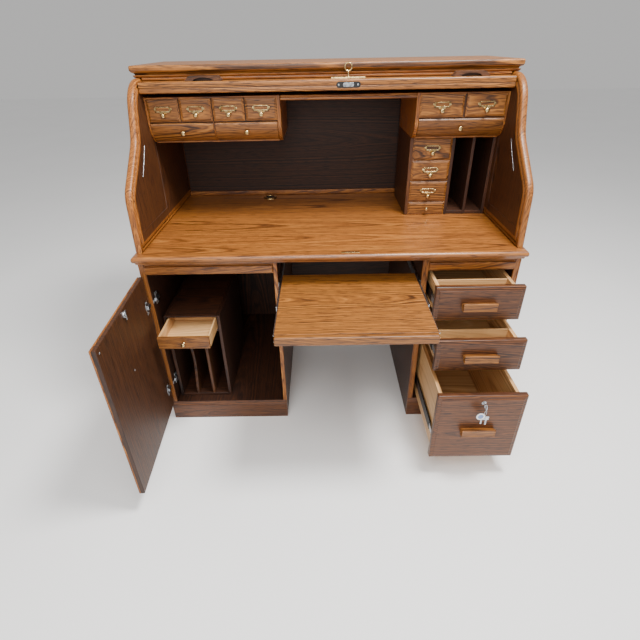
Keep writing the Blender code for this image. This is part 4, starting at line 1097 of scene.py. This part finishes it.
def makeFileLock():
    # a lock's round face on the file drawer, a key in it, and a ring with two spare keys and a card tag
    low, high = cad("file_drawer")
    keyLow, keyHigh = cad("file_key")
    x, z = (keyLow[0] + keyHigh[0]) / 2, (keyLow[2] + keyHigh[2]) / 2
    face = part(
        turned(
            ((0.0012, -0.0040), (0.0075, -0.0038), (0.0090, -0.0022), (0.0095, 0.0)), (x, low[1], z), 1,
            24),
        "steel")
    makePiece("file_lock_face", "file_drawer", [face])
    bow = keyLow[1] + 0.011
    stem = eased(
        (x - 0.0011, bow + 0.009, z - 0.002), (x + 0.0011, low[1] + 0.010, z + 0.002), 0.0004, "steel",
        axis=1)
    angle = np.linspace(0, 2 * math.pi, 24, endpoint=False)
    loop = np.stack([np.full(24, x), bow + 0.0090 * np.cos(angle), z + 0.0095 * np.sin(angle)], axis=-1)
    makePiece(
        "file_key_made", "file_key", [stem, part(tube(loop, 0.0019, 8, True), "steel")], "file_key")
    ringCentre = np.array((x, bow - 0.0065, z - 0.022))
    wide = 0.0125
    ring = np.stack(
        [
            x + wide * np.sin(angle) * 0.35, ringCentre[1] + 0 * angle + wide * np.sin(angle) * 0.2,
            ringCentre[2] + wide * np.cos(angle)],
        axis=-1)
    parts = [part(tube(ring, 0.0009, 8, True, (0, 1, 0)), "steel")]
    for lean, down in ((-0.006, 0.030), (0.005, 0.034)):
        top = ringCentre + (lean * 0.4, 0.0, -wide)
        headLow = top + (lean - 0.008, -0.001, -0.016)
        parts.append(eased(headLow, headLow + (0.016, 0.0018, 0.015), 0.0006, "steel", axis=1))
        parts.append(
            eased(
                headLow + (0.005, 0.0002, -down + 0.012), headLow + (0.0105, 0.0016, 0.001), 0.0005,
                "steel", axis=1))
    tag = np.array((x - 0.015, ringCentre[1] - 0.004, z - 0.032))
    parts.append(part(turned(((0.0138, -0.0007), (0.0142, 0.0), (0.0138, 0.0007)), tag, 1, 30), "card"))
    disc = turned(((0.0004, -0.0009), (0.0092, -0.0009), (0.0094, -0.0004), (0.0090, 0.0)), tag, 1, 30)
    parts.append(part(disc, "cardBlue"))
    rim = np.stack(
        [tag[0] + 0.0140 * np.cos(angle), tag[1] + 0 * angle, tag[2] + 0.0140 * np.sin(angle)], axis=-1)
    parts.append(part(tube(rim, 0.0009, 6, True, (0, 1, 0)), "steel"))
    makePiece("key_ring_and_tag", "file_drawer", parts)


doorSet = {
    "thick": 0.019, "face": 0.006, "stile": 0.066, "gap": 0.005, "hingeSide": 0.0036, "lockSide": 0.002,
    "cup": 0.0258}


def makeDoor():
    # drawn shut and turned open: a flat inner board, and stiles, rails and a raised field outside
    z0, z1 = cad("door")[0][2], cad("door")[1][2]
    x0 = cad("left_pedestal_outer_side")[1][0] + doorSet["hingeSide"]
    x1 = cad("left_pedestal_inner_side")[0][0] - doorSet["lockSide"]
    y0 = cad("left_pedestal_outer_side")[0][1]
    y1 = y0 + doorSet["thick"]
    face, stile, gap = doorSet["face"], doorSet["stile"], doorSet["gap"]
    parts = [eased((x0, y0 + face, z0), (x1, y1, z1), 0.002, "oakShade", 2)]
    members = (
        (x0, x0 + stile, z0, z1, 2), (x1 - stile, x1, z0, z1, 2),
        (x0 + stile, x1 - stile, z1 - stile, z1, 0), (x0 + stile, x1 - stile, z0, z0 + stile, 0))
    for a, b, c, d, along in members:
        parts.append(eased((a, y0, c), (b, y0 + face, d), 0.002, "oak", along))
    rows = ((0.032, 0.0), (0.030, 0.0004), (0.003, 0.0045), (0.0, face))
    parts.append(
        part(
            skin(
                rectangleRings(
                    (x0 + stile + gap, y0, z0 + stile + gap),
                    (x1 - stile - gap, y0 + face, z1 - stile - gap), 1, rows)),
            "oakFront", 2))
    makePiece("door_panelled", "door", fromShut(parts, "door_hinge"), "door")
    hardware = []
    for node in ("lower_hinge_plate", "upper_hinge_plate"):
        low, high = cad(node)
        z = (low[2] + high[2]) / 2
        cupX = x0 + doorSet["cup"]
        hardware.append(
            part(
                turned(
                    ((0.0175, 0.0), (0.0185, 0.0), (0.0185, 0.0012), (0.0160, 0.0016), (0.0150, 0.0010)),
                    (cupX, y1, z), 1, 28),
                "steel"))
        hardware.append(
            eased((cupX - 0.006, y1, z - 0.026), (cupX + 0.012, y1 + 0.0015, z + 0.026), 0.0006, "steel"))
        hardware.append(
            eased(
                (x0 + 0.0066, y1 + 0.0002, z - 0.0075), (cupX + 0.008, y1 + 0.0075, z + 0.0075), 0.0022,
                "steel"))
        hardware += screws([(cupX + 0.003, y1 + 0.0014, z + s) for s in (-0.021, 0.021)], 1, 1)
        arm = [
            eased(
                (low[0], y0 + 0.004, z - 0.0065), (low[0] + 0.0028, high[1] - 0.004, z + 0.0065), 0.0008,
                "steel")]
        arm += screws([(low[0] + 0.0030, low[1] + 0.022, z + s) for s in (-0.018, 0.018)], 0, 1)
        makePiece(node.replace("plate", "arm"), "desk", arm)
        frame["nodes"][node].data.materials.clear()
        frame["nodes"][node].data.materials.append(finishes["steel"])
    # a small round lock with its catch at the middle of the top edge, and two bumper screws
    lockX, lockZ = (x0 + x1) / 2, z1 - 0.020
    hardware.append(
        part(
            turned(
                ((0.0110, 0.0), (0.0110, 0.0050), (0.0095, 0.0066), (0.0030, 0.0070)), (lockX, y1, lockZ),
                1, 24),
            "steel"))
    hardware.append(
        eased(
            (lockX - 0.004, y1 + 0.0062, lockZ - 0.018), (lockX + 0.004, y1 + 0.0088, lockZ + 0.015),
            0.0008, "steel"))
    hardware += screws([(x1 - 0.019, y1, z1 - 0.019), (lockX + 0.034, y1, z1 - 0.213)], 1, 1)
    makePiece("door_hardware", "door", fromShut(hardware, "door_hinge"))


slatSet = {
    "pitch": 0.0195, "perSection": (5, 5, 5, 4, 5, 5), "crown": 0.0042, "gap": 0.0009, "lip": 0.0006,
    "backs": (0.0022, 0.0024, 0.0032)}
barSet = {
    "halfThick": 0.018, "inset": 0.006, "halfTall": 0.035, "liftsAt": (-0.4205, 0.492), "bodyTall": 0.036}


def makeLiftBar():
    low, high = cad("lift_bar")
    thickHigh = low[2] + barSet["bodyTall"]
    # the bar's section: rounded shoulders and a sunk line along the face, then a bead at the lower edge
    deep = high[1] - low[1]
    section = np.array(
        [
            (0.0, 0.0040), (0.0012, 0.0012), (0.0040, 0.0), (deep - 0.0040, 0.0), (deep, 0.0040),
            (deep, 0.0300), (deep - 0.0060, 0.0360), (0.0060, 0.0360), (0.0018, 0.0342), (0.0, 0.0300),
            (0.0, 0.0185), (0.0022, 0.0175), (0.0022, 0.0150), (0.0, 0.0140)]) + (low[1], low[2])
    parts = [part(easedOutline(section, 0, low[0], high[0], 0.0008), "oakFront", 0)]
    for centre in barSet["liftsAt"]:
        parts += liftBlock(centre, low[1] + 0.007, thickHigh)
    makePiece("lift_bar_made", "lift_bar", parts, "lift_bar")
    makeLock(low, thickHigh)


def liftBlock(centre, front, base):
    # a finger lift: an arch over a scoop. Along its length the outside falls away at the ends by a smooth
    # step, and the scoop is a half ellipse cut from the front.
    half, scoop = 0.0625, 0.036
    x = np.concatenate(
        [np.linspace(-half, -scoop, 7), np.linspace(-scoop, scoop, 25)[1:-1], np.linspace(scoop, half, 7)])
    share = np.clip((half - np.abs(x)) / 0.014, 0, 1)
    crown = 0.003 + 0.012 * share * share * (3 - 2 * share)
    hollow = 0.0112 * np.sqrt(np.clip(1 - (x / scoop) ** 2, 0, 1))
    deepFront, deepBack = front, front + 0.028
    ceiling = np.stack([x, base + hollow], axis=-1)
    # the front two thirds carry the scoop; the section turns counter-clockwise in z and x
    rim = np.concatenate(
        [
            np.stack([base + crown, centre + x], axis=-1)[::-1],
            np.stack([ceiling[:, 1], centre + ceiling[:, 0]], axis=-1) + (0.0001, 0.0)])
    # block and back take the dark mid finish: partly darker wood, partly painted shade; the dark back closes
    # the scoop so that it reads as a deep hollow
    block = part(easedOutline(rim, 1, deepFront, deepBack - 0.013, 0.0004), "oakShade", 0)
    solid = np.stack([base + crown, centre + x], axis=-1)[::-1]
    solid = np.concatenate([solid, [(base - 0.0005, centre - half), (base - 0.0005, centre + half)]])
    back = part(easedOutline(solid, 1, deepBack - 0.0132, deepBack, 0.0006), "oakShade", 0)
    return [block, back]


def makeLock(low, top):
    keyLow, keyHigh = cad("roll_top_key")
    x, y = (keyLow[0] + keyHigh[0]) / 2, (keyLow[1] + keyHigh[1]) / 2
    # the oval plate on the edge that meets the desktop: two half circles joined, a bolt and two screws
    angle = np.linspace(-90, 90, 13)
    right = np.stack(
        [0.0095 * np.sin(np.radians(angle)), 0.032 + 0.0095 * np.cos(np.radians(angle))], axis=-1)
    outline = np.concatenate([right, -right]) + (low[2] + 0.018, x)
    plate = part(easedOutline(outline, 1, low[1] - 0.0002, low[1] + 0.002, 0.0002), "blackPaint")
    bolt = part(
        skin(
            rectangleRings(
                (x - 0.019, low[1] - 0.0004, low[2] + 0.0115), (x + 0.019, low[1] + 0.002, low[2] + 0.0245),
                1, ((0.0006, 0.0), (0.0002, 0.0002), (0.0, 0.0006), (0.0, 0.0020)), corner=0.006, steps=4)),
        "steel")
    heads = [
        part(
            turned(
                ((0.0008, -0.0004), (0.0030, -0.0003), (0.0034, 0.0002)),
                (x + s * 0.033, low[1] + 0.0001, low[2] + 0.018), 1, 12),
            "steel") for s in (-1, 1)]
    makePiece("roll_top_lock", "lift_bar", [plate, bolt, *heads])
    scutcheon = [
        part(
            skin(
                rectangleRings(
                    (x - 0.060, y - 0.010, top - 0.0002), (x + 0.060, y + 0.010, top + 0.0055), 2,
                    ((0.0, 0.0), (0.0, 0.0040), (0.0012, 0.0052), (0.003, 0.0057)), corner=0.003, steps=3)),
            "brass")]
    scutcheon.append(
        part(
            turned(
                ((0.0070, 0.0), (0.0070, 0.0062), (0.0050, 0.0080), (0.0030, 0.0082)), (x, y, top), 2, 20),
            "brass"))
    makePiece("roll_top_escutcheon", "lift_bar", scutcheon)
    angle = np.linspace(0, 2 * math.pi, 28, endpoint=False)
    centreZ = keyHigh[2] - 0.0145
    bow = np.stack([x + 0.0120 * np.cos(angle), np.full(28, y), centreZ + 0.0120 * np.sin(angle)], axis=-1)
    stem = part(
        turned(
            (
                (0.0022, keyLow[2] + 0.004 - centreZ), (0.0022, -0.016), (0.0034, -0.0155),
                (0.0034, -0.0135), (0.0021, -0.013), (0.0018, -0.0105)),
            (x, y, centreZ), 2, 12),
        "brass")
    makePiece(
        "roll_top_key_made", "roll_top_key", [part(tube(bow, 0.0023, 8, True, (0, 1, 0)), "brass"), stem],
        "roll_top_key")


def slatOutline(near):
    # a half round slat between two distances along the track: a crowned outside and a flat canvas side
    pitch, gap = slatSet["pitch"], slatSet["gap"]
    share = np.linspace(0, 1, 9)
    outside, inside = [], []
    for s in share:
        y, z, way = alongPath(near + gap / 2 + (pitch - gap) * s, sLine["trackInset"])
        bulge = slatSet["crown"] * math.sqrt(max(0.0, 1 - (2 * s - 1) ** 2)) + slatSet["lip"]
        outside.append((y - bulge * math.sin(way), z + bulge * math.cos(way)))
        flat = slatSet["backs"][0]
        inside.append((y + flat * math.sin(way), z - flat * math.cos(way)))
    return np.array(outside[::-1] + inside)


def canvasOutline(near, length):
    # the strip that holds a section's slats together, behind them
    outside, inside = [], []
    for s in np.linspace(0.0, 1.0, 9):
        y, z, way = alongPath(near + length * s, sLine["trackInset"])
        for side, depth in ((outside, slatSet["backs"][1]), (inside, slatSet["backs"][2])):
            side.append((y + depth * math.sin(way), z - depth * math.cos(way)))
    return np.array(outside[::-1] + inside)


def makeTambour():
    # slats are drawn where they stand shut, then turned back with their section's pole
    half = cad("lift_bar")[1][0]
    start = barTopDistance()
    for number, count in enumerate(slatSet["perSection"], 1):
        node = "curtain_section_{}".format(number)
        parts = []
        for i in range(count):
            outline = slatOutline(start + i * slatSet["pitch"])
            parts.append(part(easedOutline(outline, 0, -half, half, 0.0004), "oak", 0))
        parts.append(
            part(
                easedOutline(
                    canvasOutline(start + 0.001, count * slatSet["pitch"] - 0.002), 0, -half + 0.02,
                    half - 0.02, 0.0001),
                "dark", 0))
        makePiece("tambour_slats_{}".format(number), node, fromShut(parts, node + "_track"), node)
        start += count * slatSet["pitch"]
    print("tambour of", sum(slatSet["perSection"]), "slats made")


def barTopDistance():
    # how far up the track the shut lift bar reaches: its height and what lifts its edge clear of the desktop
    heading = math.radians(sLine["heading"])
    inset = sLine["trackInset"]
    halfThick, barInset, halfTall = barSet["halfThick"], barSet["inset"], barSet["halfTall"]
    low = surface + 0.0006 + (halfThick + barInset) * math.cos(heading)
    startZ = surface - inset * math.cos(heading)
    return 2 * halfTall + (low - startZ) / math.sin(heading) + 0.0005


def makeDeskFittings():
    x, y = (cad("keyboard_tray")[0][0] + cad("keyboard_tray")[1][0]) / 2, deskFront + 0.024
    plate = eased(
        (x - 0.031, y - 0.0045, surface - 0.0006), (x + 0.031, y + 0.0045, surface + 0.0010), 0.0005,
        "brass")
    # the slot is a dark box laid on the plate: painted shade standing for the hole
    slotShade = eased(
        (x - 0.014, y - 0.0020, surface + 0.0004), (x + 0.014, y + 0.0020, surface + 0.0012), 0.0003,
        "dark")
    makePiece("strike_plate", "desk", [plate, slotShade])
    place = (-0.262, deskFront + 0.678, surface)
    ring = part(
        turned(
            (
                (0.0180, 0.0003), (0.0180, 0.0030), (0.0205, 0.0046), (0.0300, 0.0040), (0.0325, 0.0014),
                (0.0325, 0.0))[::-1],
            place, 2, 40),
        "brass")
    cap = part(turned(((0.0182, 0.0002), (0.0182, 0.0018)), place, 2, 40), "dark")
    makePiece("cable_grommet", "desk", [ring, cap])


def makeFloor():
    # one pale studio floor, far larger than the view
    mesh = bpy.data.meshes.new("floor")
    reach = 14.0
    mesh.from_pydata(
        [(-reach, -reach, 0), (reach, -reach, 0), (reach, reach, 0), (-reach, reach, 0)], [],
        [(0, 1, 2, 3)])
    material, tree, shader = newMaterial("floorPaintedPale")
    place = addNode(tree, "TexCoord").outputs["Object"]
    cloud = addNode(tree, "TexNoise", {"Scale": 1.3, "Detail": 2.0}, {"Vector": place}).outputs["Fac"]
    tint = addNode(
        tree, "Mix", {"data_type": "RGBA", 6: linear("#f6f6f6"), 7: linear("#fcfcfc")}, {0: cloud})
    tree.links.new(tint.outputs[2], shader.inputs["Base Color"])
    shader.inputs["Roughness"].default_value = 0.85
    mesh.materials.append(material)
    floor = bpy.data.objects.new("floor", mesh)
    bpy.context.scene.collection.objects.link(floor)


addCamera()
addLights()
makeFloor()
makeTops()
makeEnd(-1, "end_panel_left")
makeEnd(1, "end_panel_right")
makeGlintStrips()
makeBacks()
makePedestals()
print("carcase made")
makeGalleries()
makeSlotCase()
makeTray()
for drawerName in ("upper_drawer", "middle_drawer", "file_drawer"):
    makeBigDrawer(drawerName)
makeFileLock()
makeDoor()
makeLiftBar()
makeTambour()
makeDeskFittings()
print("moving pieces made")
